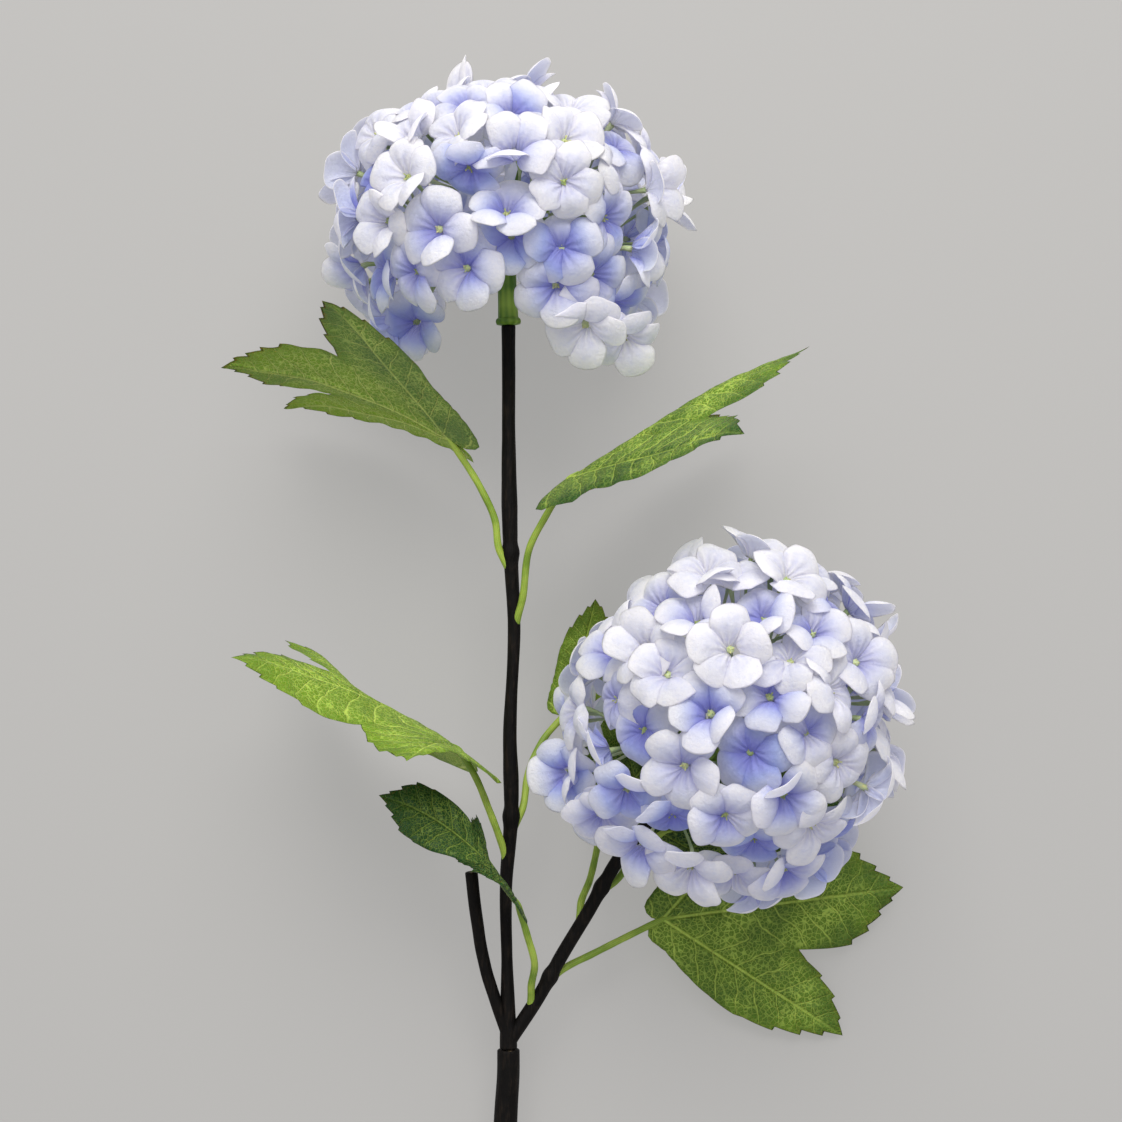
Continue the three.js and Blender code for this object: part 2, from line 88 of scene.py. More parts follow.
def paint(red: int, green: int, blue: int) -> Colour:
    """A colour from its display values, 0 to 255, as the linear values that shaders take."""
    display = np.array([red, green, blue]) / 255
    linear = np.where(display > 0.04045, ((display + 0.055) / 1.055) ** 2.4, display / 12.92)
    return (float(linear[0]), float(linear[1]), float(linear[2]), 1.0)


def unit(vectors: Array | Point) -> Array:
    """Vectors along the last axis, each divided by its length."""
    vectors = np.asarray(vectors, float)
    return vectors / np.maximum(np.linalg.norm(vectors, axis=-1, keepdims=True), 1e-12)


def round_turn(count: int) -> Array:
    """Angles of that many even steps round a whole turn, in radians."""
    return np.linspace(0, 2 * np.pi, count, endpoint=False)


def smooth(low: float, high: float, values: Array) -> Array:
    """Zero up to low, one from high, and 3t^2 - 2t^3 between them."""
    share = np.clip((values - low) / (high - low), 0, 1)
    return share * share * (3 - 2 * share)


def ripple(points: Array, scale: float, seed: int) -> Array:
    """A gentle uneven field: the mean of six sine waves in random directions.

    Args:
        points: Places, with x, y and z along the last axis.
        scale: The waves' usual length, in the points' unit.
        seed: Chooses the directions and phases.

    Returns:
        A value of about -1 to 1 for each point.
    """
    draw = np.random.default_rng(seed)
    ways = unit(draw.normal(size=(6, 3))) * draw.uniform(0.6, 1.6, (6, 1)) * 2 * np.pi / scale
    return np.sin(points @ ways.T + draw.uniform(0, 2 * np.pi, 6)).mean(axis=-1) * 1.6


# ---- meshes


@dataclass
class Patch:
    """Points, the quads and triangles on them, and the values that each point carries."""

    points: Array
    quads: Array = field(default_factory=lambda: np.zeros((0, 4), int))
    tris: Array = field(default_factory=lambda: np.zeros((0, 3), int))
    values: dict[str, Array] = field(default_factory=dict)

    @staticmethod
    def joined(patches: Sequence[Patch]) -> Patch:
        """One patch of several, with each one's faces counted on from the points before it."""
        starts = np.cumsum([0] + [len(patch.points) for patch in patches])
        names = patches[0].values
        return Patch(
            np.concatenate([patch.points for patch in patches]),
            np.concatenate([patch.quads + start for patch, start in zip(patches, starts)]),
            np.concatenate([patch.tris + start for patch, start in zip(patches, starts)]),
            {name: np.concatenate([patch.values[name] for patch in patches]) for name in names},
        )


def square(side: int) -> tuple[Array, Array]:
    """x and y, from -1 to 1, of a square grid with that many points along each side."""
    line = np.linspace(-1, 1, side)
    x, y = np.meshgrid(line, line, indexing="ij")
    return x.ravel(), y.ravel()


def grid_quads(grid: Array, closed: bool = False) -> Array:
    """Quads between neighbours in a grid of point numbers, whose rows close on themselves if closed."""
    if closed:
        grid = np.concatenate([grid, grid[:, :1]], axis=1)
    return np.stack([grid[:-1, :-1], grid[1:, :-1], grid[1:, 1:], grid[:-1, 1:]], -1).reshape(-1, 4)


def fan(hub: int, ring: Array, flip: bool = False) -> Array:
    """Triangles from one point to the neighbours in a closed ring, the other way round if flipped."""
    around = np.stack([np.full(len(ring), hub), ring, np.roll(ring, -1)], -1)
    return around[:, [0, 2, 1]] if flip else around


def repeated(shape: Array, quads: Array, tris: Array, values: dict[str, Array]) -> Patch:
    """One patch of many copies of a template.

    Args:
        shape: Points of every copy, as copies by points by three.
        quads: The template's quads.
        tris: The template's triangles.
        values: What the points carry, as copies by points, with a further axis for vectors.

    Returns:
        The patch of all the copies.
    """
    copies, count = shape.shape[:2]
    starts = (np.arange(copies) * count)[:, None, None]
    return Patch(
        shape.reshape(-1, 3),
        (quads[None] + starts).reshape(-1, 4),
        (tris[None] + starts).reshape(-1, 3),
        {name: value.reshape(copies * count, *value.shape[2:]) for name, value in values.items()},
    )


def show(name: str, data: bpy.types.ID) -> bpy.types.Object:
    """An object of that name for a mesh, lamp or camera, in the scene."""
    made = bpy.data.objects.new(name, data)
    bpy.context.scene.collection.objects.link(made)
    return made


def put(name: str, patch: Patch, pose: Pose, material: bpy.types.Material) -> bpy.types.Object:
    """Puts a patch in the scene as a mesh at the origin.

    Args:
        name: The piece's name.
        patch: What it is made of, in the spray's frame.
        pose: How the spray lies.
        material: Its finish.

    Returns:
        The new object.
    """
    mesh = bpy.data.meshes.new(name)
    corners = np.concatenate([patch.quads.ravel(), patch.tris.ravel()]).astype(np.int32)
    sizes = np.concatenate([np.full(len(patch.quads), 4), np.full(len(patch.tris), 3)]).astype(np.int32)
    mesh.vertices.add(len(patch.points))
    mesh.vertices.foreach_set("co", pose.place(patch.points).astype(np.float32).ravel())
    mesh.loops.add(len(corners))
    mesh.loops.foreach_set("vertex_index", corners)
    mesh.polygons.add(len(sizes))
    mesh.polygons.foreach_set("loop_start", (np.cumsum(sizes) - sizes).astype(np.int32))
    mesh.polygons.foreach_set("use_smooth", np.ones(len(sizes), bool))
    for key, value in patch.values.items():
        kind, field_name = ("FLOAT_VECTOR", "vector") if value.ndim == 2 else ("FLOAT", "value")
        attribute = mesh.attributes.new(key, kind, "POINT")
        attribute.data.foreach_set(field_name, value.astype(np.float32).ravel())
    mesh.update(calc_edges=True)
    mesh.validate()
    mesh.materials.append(material)
    return show(name, mesh)


def dress(made: bpy.types.Object, slot: Slot, *nodes: str) -> bpy.types.Object:
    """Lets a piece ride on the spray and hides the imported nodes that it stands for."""
    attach(made, "root")
    if nodes:
        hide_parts(*nodes)
    LOG.info("%s: %d faces", made.name, len(made.data.polygons))
    return made


def merged(node: bpy.types.Object) -> tuple[Array, Array]:
    """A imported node's loose triangles as shared points.

    Args:
        node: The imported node, which stays as it is.

    Returns:
        Its points in metres, and its triangles on them.
    """
    mesh = node.data
    points = np.zeros(len(mesh.vertices) * 3, np.float32)
    mesh.vertices.foreach_get("co", points)
    mesh.calc_loop_triangles()
    corners = np.zeros(len(mesh.loop_triangles) * 3, np.int32)
    mesh.loop_triangles.foreach_get("vertices", corners)
    places = points.reshape(-1, 3)
    _, first, index = np.unique(np.round(places, 6), axis=0, return_index=True, return_inverse=True)
    triangles = index.ravel()[corners].reshape(-1, 3)
    return places[first].astype(float), triangles[np.ptp(triangles, axis=1) > 0]


def fans(node: bpy.types.Object, least: int) -> tuple[Array, Array, Array]:
    """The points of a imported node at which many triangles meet.

    Args:
        node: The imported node.
        least: The number of triangles that have to meet there.

    Returns:
        The points in metres, their normals, and the length of each one's shortest edge.
    """
    points, triangles = merged(node)
    meeting = np.bincount(triangles.ravel(), minlength=len(points))
    edges = np.concatenate([triangles[:, [0, 1]], triangles[:, [1, 2]], triangles[:, [2, 0]]])
    lengths = np.linalg.norm(points[edges[:, 0]] - points[edges[:, 1]], axis=1)
    shortest = np.full(len(points), np.inf)
    np.minimum.at(shortest, edges.ravel(), np.repeat(lengths, 2))
    a, b, c = (points[triangles[:, corner]] for corner in range(3))
    normals = np.zeros_like(points)
    np.add.at(normals, triangles.ravel(), np.repeat(np.cross(b - a, c - a), 3, axis=0))
    chosen = meeting >= least
    return points[chosen], unit(normals[chosen]), shortest[chosen]


@dataclass(frozen=True)
class Pose:
    """How the spray lies: the turn and the shift from its own frame in millimetres to the floor's in metres.

    What comes lower than press_from is pressed upwards. It ends above press_least, and the further down it
    was, by press_depth, the nearer to it.
    """

    turn: Array
    shift: Array
    press_from: float = 2.0 * MM
    press_least: float = 0.3 * MM
    press_depth: float = 4.0 * MM

    @classmethod
    def of(cls, nodes: Packed, stems: dict[str, Stem]) -> Pose:
        """Finds the turn and shift that take the stems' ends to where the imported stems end.

        The turn is the one that least squares gives, from the singular values of the ends' covariance.

        Args:
            nodes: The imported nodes.
            stems: The stems, with their paths in the spray's frame.

        Returns:
            The pose.
        """
        own, laid = [], []
        for name, stem in stems.items():
            hubs = fans(nodes[name], STEM_END_FAN)[0]
            ordered = hubs[np.argsort(hubs[:, 1])]
            own.append(stem.path[-1])
            laid.append(ordered[-1])
            if stem.whole:
                own.append(stem.path[0])
                laid.append(ordered[0])
        source, target = np.array(own) * MM, np.array(laid)
        left, _, right = np.linalg.svd((source - source.mean(0)).T @ (target - target.mean(0)))
        flip = np.diag([1, 1, np.sign(np.linalg.det(right.T @ left.T))])
        turn = right.T @ flip @ left.T
        shift = target.mean(0) - turn @ source.mean(0)
        miss = np.abs(source @ turn.T + shift - target).max()
        LOG.info("pose found, with the stems' ends within %.3f mm", miss / MM)
        return cls(turn, shift)

    def place(self, points: Array) -> Array:
        """Points of the spray's frame, in metres, where they lie on the floor."""
        return points * MM @ self.turn.T + self.shift

    def back(self, points: Array) -> Array:
        """Points of the floor's frame, in the spray's own frame and in millimetres."""
        return (points - self.shift) @ self.turn / MM

    def rested(self, patch: Patch) -> Patch:
        """The patch pressed to the floor.

        Under press_from, the height over press_least falls off as an exponential of the depth.
        """
        laid = self.place(patch.points)
        under = laid[:, 2] < self.press_from
        depth = (laid[under, 2] - self.press_from) / self.press_depth
        laid[under, 2] = self.press_least + (self.press_from - self.press_least) * np.exp(depth)
        patch.points = self.back(laid)
        return patch


# ---- tubes


def smooth_path(points: Array, count: int) -> Array:
    """A smooth curve through points.

    Each span is the cubic that meets its ends with the slopes of the chords on both sides. It is sampled at
    even steps of the chords' summed length.

    Args:
        points: The points to pass through.
        count: The number of points wanted.

    Returns:
        The curve's points.
    """
    chords = np.linalg.norm(np.diff(points, axis=0), axis=1)
    knots = np.concatenate([[0], np.cumsum(chords)])
    slopes = np.gradient(points, knots, axis=0)
    at = np.linspace(0, knots[-1], count)
    span = np.clip(np.searchsorted(knots, at, side="right") - 1, 0, len(points) - 2)
    width = (knots[span + 1] - knots[span])[:, None]
    t = (at - knots[span])[:, None] / width
    low, high = points[span], points[span + 1]
    return (
        low * (2 * t**3 - 3 * t**2 + 1)
        + high * (3 * t**2 - 2 * t**3)
        + slopes[span] * width * (t**3 - 2 * t**2 + t)
        + slopes[span + 1] * width * (t**3 - t**2)
    )


def path_frames(path: Array) -> tuple[Array, Array]:
    """Two directions square to a path at each of its points, from one fixed direction made square to it."""
    ways = unit(np.gradient(path, axis=0))
    fixed = np.array([0.31, 0.17, 0.93])
    aside = unit(np.cross(ways, fixed))
    return aside, np.cross(ways, aside)


def tube(path: Array, radii: Array, sides: int, profile: Array | None = None) -> Patch:
    """A closed tube: a ring of points round every point of a path, and a fan at both ends.

    A ring's point stands off the path by the radius there, times the profile at its own angle. The points
    carry "way", which holds the angle as a share of a turn, the share of the path, and one on the ends.

    Args:
        path: The centre line.
        radii: The radius at each of its points.
        sides: The number of points in a ring.
        profile: The radius' share at each angle, the same for all rings or one row for each.

    Returns:
        The tube.
    """
    count = len(path)
    aside, up = path_frames(path)
    turn = round_turn(sides)
    shares = np.broadcast_to(1.0 if profile is None else profile, (count, sides))
    ring = np.cos(turn)[None, :, None] * aside[:, None] + np.sin(turn)[None, :, None] * up[:, None]
    rings = path[:, None] + radii[:, None, None] * shares[..., None] * ring
    points = np.concatenate([rings.reshape(-1, 3), path[:1], path[-1:]])
    grid = np.arange(count * sides).reshape(count, sides)
    quads = grid_quads(grid, closed=True)[:, [0, 3, 2, 1]]
    end_fans = np.concatenate([fan(grid.size, grid[0], flip=True), fan(grid.size + 1, grid[-1])])
    share = np.repeat(np.linspace(0, 1, count), sides)
    way = np.stack([np.tile(turn / (2 * np.pi), count), share, np.zeros(count * sides)], -1)
    way = np.concatenate([way, [[0, 0, 1], [0, 1, 1]]])
    return Patch(points, quads, end_fans, {"way": way})


# A cut face's rings from its middle to its rim: how far each stands out, and its share of the radius.
CUT_FACE = np.array([[-0.5, 0.35], [-0.25, 0.8], [0.0, 0.93]])
CHAMFER = 0.35


def with_cut_ends(path: Array, radii: Array) -> tuple[Array, Array]:
    """A path and its radii with a small chamfer and a slightly hollow face added at both ends."""
    start, end = unit(path[0] - path[1]), unit(path[-1] - path[-2])
    depth, share = CUT_FACE[:, :1], CUT_FACE[:, 1]
    first, last = path[0] - start * CHAMFER, path[-1] - end * CHAMFER
    low, high = path[0] + start * depth, (path[-1] + end * depth)[::-1]
    line = np.concatenate([low, [first], path[1:-1], [last], high])
    return line, np.concatenate([radii[0] * share, radii, (radii[-1] * share)[::-1]])


# ---- shader sums


def arithmetic(operation: str, swapped: bool = False) -> Callable[[Shade, Any], Shade]:
    """A method that puts a Math node on a socket and another value, the value first if swapped."""

    def work_out(self: Shade, other: Any) -> Shade:
        """The Math node's output."""
        return self.sum(operation, *((other, self) if swapped else (self, other)))

    return work_out


class Shade:
    """A socket in a material, on which arithmetic adds the nodes that work it out."""

    def __init__(self, nodes: Nodes, socket: bpy.types.NodeSocket) -> None:
        """Keeps the material's nodes and the socket."""
        self.nodes = nodes
        self.socket = socket

    def sum(self, operation: str, *values: Any) -> Shade:
        """A Math node of that operation on these values."""
        return self.nodes.add("ShaderNodeMath", {"operation": operation}, dict(enumerate(values)))

    __add__, __radd__ = arithmetic("ADD"), arithmetic("ADD", swapped=True)
    __sub__, __rsub__ = arithmetic("SUBTRACT"), arithmetic("SUBTRACT", swapped=True)
    __mul__, __rmul__ = arithmetic("MULTIPLY"), arithmetic("MULTIPLY", swapped=True)
    __truediv__, __rtruediv__ = arithmetic("DIVIDE"), arithmetic("DIVIDE", swapped=True)
    least, most = arithmetic("MINIMUM"), arithmetic("MAXIMUM")

    def fract(self) -> Shade:
        """What follows the whole number."""
        return self.sum("FRACT", self)

    def abs(self) -> Shade:
        """Its size without its sign."""
        return self.sum("ABSOLUTE", self)

    def sin(self) -> Shade:
        """Its sine, for radians."""
        return self.sum("SINE", self)

    def rise(self, low: float, high: float) -> Shade:
        """Zero at low and one at high, with a smooth way between, whichever of them is the larger."""
        inputs = {"Value": self, "From Min": low, "From Max": high}
        return self.nodes.add("ShaderNodeMapRange", {"interpolation_type": "SMOOTHSTEP"}, inputs)


class Nodes:
    """The nodes of one material, made through its own methods."""

    def __init__(self, name: str) -> None:
        """Starts a material with no nodes."""
        self.material = bpy.data.materials.new(name)
        self.material.use_nodes = True
        self.tree = self.material.node_tree
        self.tree.nodes.clear()

    def add(
        self, kind: str, settings: dict[str, Any] | None = None, inputs: dict[Any, Any] | None = None,
        out: int | str = 0,
    ) -> Shade:
        """Any node.

        Args:
            kind: The node's type.
            settings: Its own settings, which are set first.
            inputs: A value or a link for each socket, by its name or number.
            out: The name or number of the output wanted.

        Returns:
            That output.
        """
        node = self.tree.nodes.new(kind)
        for key, value in (settings or {}).items():
            setattr(node, key, value)
        for key, value in (inputs or {}).items():
            if isinstance(value, Shade):
                self.tree.links.new(value.socket, node.inputs[key])
            else:
                node.inputs[key].default_value = value
        return Shade(self, node.outputs[out])

    def mix(self, factor: Any, low: Any, high: Any) -> Shade:
        """Two colours mixed by a factor."""
        settings = {"data_type": "RGBA", "blend_type": "MIX", "clamp_factor": True}
        return self.add("ShaderNodeMix", settings, {0: factor, 6: low, 7: high}, 2)

    def noise(self, place: Shade, scale: float, detail: float = 3.0, roughness: float = 0.5) -> Shade:
        """Soft noise at a scale, about 0.5 on the whole."""
        inputs = {"Vector": place, "Scale": scale, "Detail": detail, "Roughness": roughness}
        return self.add("ShaderNodeTexNoise", {}, inputs)

    def cells(self, place: Shade, scale: float) -> Shade:
        """How far off the nearest wall is, in a net of random cells."""
        inputs = {"Vector": place, "Scale": scale, "Randomness": 1.0}
        return self.add("ShaderNodeTexVoronoi", {"feature": "DISTANCE_TO_EDGE"}, inputs, "Distance")

    def place(self) -> Shade:
        """The place in the object's own coordinates."""
        return self.add("ShaderNodeTexCoord", out="Object")

    def carried(self, name: str) -> Shade:
        """A single value that the points carry."""
        return self.add("ShaderNodeAttribute", {"attribute_name": name}, out="Fac")

    def carried_vector(self, name: str) -> Shade:
        """A vector that the points carry."""
        return self.add("ShaderNodeAttribute", {"attribute_name": name}, out="Vector")

    def parts(self, vector: Shade, axes: str = "XYZ") -> list[Shade]:
        """The parts of a vector along these axes."""
        return [self.add("ShaderNodeSeparateXYZ", {}, {0: vector}, axis) for axis in axes]

    def finish(
        self, fed: dict[str, Shade], fixed: dict[str, Any], height: Shade | None = None, depth: float = 0.0
    ) -> bpy.types.Material:
        """Ends the material in one Principled surface.

        Args:
            fed: Sockets that other nodes feed.
            fixed: Sockets with one value.
            height: What the bump follows, if any.
            depth: How deep the bump is, in metres.

        Returns:
            The finished material.
        """
        inputs: dict[str, Any] = {**fed, **fixed}
        if height is not None:
            inputs["Normal"] = self.add("ShaderNodeBump", {}, {"Height": height, "Distance": depth}, "Normal")
        shader = self.add("ShaderNodeBsdfPrincipled", {}, inputs)
        output = self.tree.nodes.new("ShaderNodeOutputMaterial")
        self.tree.links.new(shader.socket, output.inputs["Surface"])
        return self.material


# ---- finishes


@dataclass(frozen=True)
class PetalFinish:
    """Thin pale silk: white to lavender at the rim, blue violet in the throat, with fine creases."""

    rim: Colour = paint(241, 237, 238)
    body: Colour = paint(218, 216, 228)
    flush: Colour = paint(190, 196, 226)
    throat: Colour = paint(116, 118, 202)
    sky: Colour = paint(152, 166, 222)
    # Greyer blue for the petals' lower sides: painted shade beneath them.
    beneath: Colour = paint(174, 182, 214)
    # The petals glow faintly in their own colour: painted light, as if through the silk, which lifts their
    # shade.
    glow_strength: float = 0.12

    def make(self) -> bpy.types.Material:
        """Builds the material."""
        nodes = Nodes("petal_silk")
        across, along, edge = nodes.parts(nodes.carried_vector("petal"))
        tint = nodes.carried("tint")
        under = nodes.carried("under")
        place = nodes.place()
        cloud = nodes.noise(place, 160, 2)
        pale = nodes.mix((edge + cloud * 0.5).rise(0.45, 1.2), self.body, self.rim)
        # Bluer petals take more of the flush, and lower sides a little of it as painted shade.
        pale = nodes.mix(tint.rise(0.5, 1.4) * 0.6 + under * 0.2, pale, self.flush)
        deep = nodes.mix((along + cloud * 0.3).rise(0.25, 0.95), self.throat, self.sky)
        reach = tint * (1.42 - along * 1.6) + (cloud - 0.5) * 0.4 * tint
        coloured = nodes.mix(reach.rise(0.02, 0.86), pale, deep)
        inner = 1 - along.rise(0.2, 0.85)
        crease = (across / (along + 0.25) * 9 + cloud * 5 + tint * 7).sin() * inner
        mottle = nodes.noise(place, 420, 3, 0.6).rise(0.42, 0.75) * 0.16
        shaded = nodes.mix((crease * 0.5 + 0.5) * inner * 0.25 + mottle, coloured, deep)
        # Lower sides are mixed towards the greyer blue: painted shade beneath the petals.
        dull = nodes.mix(under * 0.6, shaded, self.beneath)
        # The very edge is lightened towards the rim colour: partly the silk's white edge, partly a painted
        # highlight.
        rim = nodes.mix(edge.rise(0.95, 1.0) * 0.5, dull, self.rim)
        grain = nodes.noise(place, 900, 4, 0.6)
        fixed = {
            "Roughness": 0.62, "Specular IOR Level": 0.22, "Sheen Weight": 0.12, "Sheen Roughness": 0.5,
            "Subsurface Weight": 0.6, "Subsurface Scale": 0.005, "Subsurface Radius": (1.0, 0.95, 1.1),
            "Emission Strength": self.glow_strength,
        }
        # The glow takes the petal's colour: painted light, not a lamp.
        fed = {"Base Color": rim, "Emission Color": rim}
        return nodes.finish(fed, fixed, crease * 0.35 + grain * 0.7, 0.6 * MM)


@dataclass(frozen=True)
class LeafFinish:
    """A veined blade: mid green above with pale yellow-green veins, dull grey green beneath."""

    top_dark: Colour = paint(18, 62, 20)
    top_light: Colour = paint(116, 150, 26)
    top_vein: Colour = paint(190, 214, 96)
    under_dark: Colour = paint(58, 92, 66)
    under_light: Colour = paint(128, 164, 40)
    under_vein: Colour = paint(206, 222, 122)
    vein_step: float = 0.1
    vein_slope: float = 0.85

    def make(self) -> bpy.types.Material:
        """Builds the material."""
        nodes = Nodes("leaf_blade")
        along, aside, out = nodes.parts(nodes.carried_vector("rib"))
        flat = nodes.carried_vector("flat")
        (side,) = nodes.parts(flat, "Z")
        tone = nodes.carried("tone")
        wander = nodes.noise(flat, 7, 3)
        arc = along - aside * self.vein_slope + aside * aside * 0.9 + (wander - 0.5) * 0.09
        phase = arc / self.vein_step
        off = (phase.fract() - 0.5).abs() * self.vein_step
        second = off.rise(0.0074, 0.001) * (1 - aside.rise(0.12, 0.4) * 0.5)
        main = aside.rise(0.011, 0.0025) * (1 - along.rise(0.3, 1.0) * 0.45)
        mesh = nodes.cells(flat, 54).rise(0.15, 0.02)
        fine = nodes.cells(flat, 130).rise(0.12, 0.02)
        patch = nodes.noise(flat, 5, 4).rise(0.3, 0.72)
        veins = main.most(second * 0.85).most(mesh * (patch * 0.3 + 0.4)).most(fine * 0.26)
        veins = veins * (1 - out.rise(0.8, 1.0) * 0.7)
        # Random patches and the tone, which is partly the leaf's own green and partly painted light and shade,
        # pick between the dark and light greens.
        lit = (patch * 0.35 + tone).least(1.0).most(0.0)
        veins = veins * (lit.least(0.6) * 0.9 + 0.42)
        top = nodes.mix(veins, nodes.mix(lit, self.top_dark, self.top_light), self.top_vein)
        under = nodes.mix(veins, nodes.mix(lit, self.under_dark, self.under_light), self.under_vein)
        colour = nodes.mix(side, top, under)
        hump = off / (self.vein_step * 0.5)
        height = hump * 0.6 - main * 0.5 - second * 0.35 - mesh * 0.2 + nodes.noise(flat, 160, 2) * 0.15
        fixed = {"Specular IOR Level": 0.25, "Subsurface Weight": 0.08, "Subsurface Scale": 0.001}
        rough = 0.5 + side * 0.22 + veins * 0.08
        return nodes.finish({"Base Color": colour, "Roughness": rough}, fixed, height, 0.9 * MM)


@dataclass(frozen=True)
class BarkFinish:
    """Near-black brown bark with lengthwise grain and a paler cut face."""

    dark: Colour = paint(8, 6, 5)
    light: Colour = paint(34, 27, 21)
    cut: Colour = paint(112, 96, 74)

    def make(self) -> bpy.types.Material:
        """Builds the material."""
        nodes = Nodes("dark_bark")
        (end,) = nodes.parts(nodes.carried_vector("way"), "Z")
        place = nodes.place()
        stretched = nodes.add("ShaderNodeMapping", {}, {"Vector": place, "Scale": (900.0, 120.0, 900.0)})
        grain = nodes.noise(stretched, 1.0, 5, 0.6)
        lump = nodes.noise(place, 190, 3)
        worn = (grain * 0.7 + lump * 0.3).rise(0.46, 0.72)
        bark = nodes.mix(worn, self.dark, self.light)
        colour = nodes.mix(end.rise(0.3, 0.6), bark, self.cut)
        fed = {"Base Color": colour, "Roughness": 0.5 + grain * 0.3}
        return nodes.finish(fed, {"Specular IOR Level": 0.14}, grain * 0.7 + lump * 0.6, 0.6 * MM)


@dataclass(frozen=True)
class StalkFinish:
    """A green stalk, mottled and with fine lengthwise lines."""

    name: str = "leaf_stalk"
    dark: Colour = paint(112, 142, 40)
    light: Colour = paint(168, 190, 76)
    lined: float = 0.1
    line_turns: float = 62.83

    def make(self) -> bpy.types.Material:
        """Builds the material."""
        nodes = Nodes(self.name)
        (around,) = nodes.parts(nodes.carried_vector("way"), "X")
        cloud = nodes.noise(nodes.place(), 90, 3)
        lines = ((around * self.line_turns).sin() * 0.5 + 0.5) * self.lined + cloud * (1 - self.lined)
        colour = nodes.mix(lines.rise(0.3, 0.72), self.dark, self.light)
        fixed = {"Specular IOR Level": 0.4, "Subsurface Weight": 0.1, "Subsurface Scale": 0.001}
        fed = {"Base Color": colour, "Roughness": 0.42 + cloud * 0.2}
        return nodes.finish(fed, fixed, lines * 0.6 + cloud * 0.5, 0.4 * MM)


@dataclass(frozen=True)
class FloorFinish:
    """A plain pale grey floor, faintly mottled and lit a little from within so that shadows stay soft."""

    low: Colour = paint(108, 107, 105)
    high: Colour = paint(113, 112, 110)
    glow: Colour = (1.0, 0.985, 0.965, 1.0)
    glow_strength: float = 0.32

    def make(self) -> bpy.types.Material:
        """Builds the material."""
        nodes = Nodes("pale_floor")
        cloud = nodes.noise(nodes.place(), 3, 2)
        colour = nodes.mix(cloud, self.low, self.high)
        fixed = {
            "Roughness": 0.9, "Specular IOR Level": 0.1,
            "Emission Color": self.glow, "Emission Strength": self.glow_strength,
        }
        return nodes.finish({"Base Color": colour}, fixed)


# ---- stems


@dataclass
class Stem:
    """A woody stem: a smooth path with its radius at points evenly spread along it.

    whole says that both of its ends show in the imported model, and knots are shares of its length. At a knot
    the stem swells by knot_rise over knot_width, and narrows by neck_depth a little beyond it.
    """

    path: list[Point]
    radii: list[float]
    whole: bool = False
    knots: list[float] = field(default_factory=list)
    rings_per_mm: float = 1.1
    least_rings: int = 24
    sides: int = 28
    blur: int = 9
    knot_rise: float = 0.6
    knot_width: float = 2.6
    neck_depth: float = 0.12
    neck_width: float = 1.6
    neck_past: float = 4.0
    ridge_depth: float = 0.03
    ridge_scale: float = 2.6
    ridge_stretch: float = 0.16
    flute_depth: float = 0.012
    flutes: int = 5

    def radius(self, share: Array, length: float) -> Array:
        """The radius at shares of the length: the given ones joined and blurred, plus a hump at each knot."""
        radii = np.interp(share * (len(self.radii) - 1), range(len(self.radii)), self.radii)
        kernel = np.hanning(self.blur) / np.hanning(self.blur).sum()
        radii = np.convolve(np.pad(radii, self.blur // 2, mode="edge"), kernel, mode="valid")
        for knot in self.knots:
            away = (share - knot) * length
            radii = radii + self.knot_rise * np.exp(-((away / self.knot_width) ** 2))
            radii = radii - self.neck_depth * np.exp(-(((away - self.neck_past) / self.neck_width) ** 2))
        return radii

    def patch(self, seed: int) -> Patch:
        """A tube along the path with lengthwise ridges, uneven all over and cut square at its ends.

        The ridges are an uneven field, quick round the stem and slow along it, plus a few flutes.
        """
        points = np.array(self.path, float)
        length = np.linalg.norm(np.diff(points, axis=0), axis=1).sum()
        count = max(self.least_rings, int(length * self.rings_per_mm))
        radii = self.radius(np.linspace(0, 1, count), length)
        line, radii = with_cut_ends(smooth_path(points, count), radii)
        turn = round_turn(self.sides)
        shape = (len(line), self.sides)
        along = np.arange(len(line))[:, None] / self.rings_per_mm * self.ridge_stretch
        spot = [np.broadcast_to(part, shape) for part in (3 * np.cos(turn), 3 * np.sin(turn), along)]
        ridges = 1 + self.ridge_depth * ripple(np.stack(spot, -1), self.ridge_scale, seed)
        made = tube(line, radii, self.sides, ridges + self.flute_depth * np.sin(turn * self.flutes + seed))
        cut = np.zeros((len(line), self.sides))
        cut[:2] = cut[-2:] = 1
        made.values["way"][:, 2] = np.append(cut, [1, 1])
        return made


STEMS = {
    "trunk": Stem(
        [(-2, -138, 0), (-2.5, -95, 0), (-1.5, -55, 0), (-0.6, -22, 0), (0.2, -11, 0), (0.2, -1.5, 0)],
        [3.4, 3.4, 3.4, 3.4, 4.25, 4.0], True,
    ),
    "main_stem": Stem(
        [(0.2, -1.1, 0), (-0.3, 28, 0), (-0.7, 57, 0), (1.2, 84, 0), (0.7, 112, 0), (2.2, 152, 0),
         (0.9, 178, 0), (0.4, 205, 0), (0.2, 259, 0)],
        [3.2, 2.0, 2.35, 2.8, 2.1, 2.4, 2.9, 2.35, 2.5], True, [0.32, 0.685],
    ),
    "side_branch": Stem(
        [(0.5, 1.5, 0), (11, 17.5, 0), (19, 32, 1), (28, 47, 2.5), (42, 71, 6), (55, 86, 12)],
        [2.6, 2.5, 2.4, 2.4, 2.5, 2.4], False, [0.27, 0.64],
    ),
    "cut_stub": Stem([(0.5, 1.5, 0), (-8.6, 30.6, 2), (-11.6, 50, 4), (-13, 63, 5)], [2.2, 2.2, 2.2, 2.3]),
}


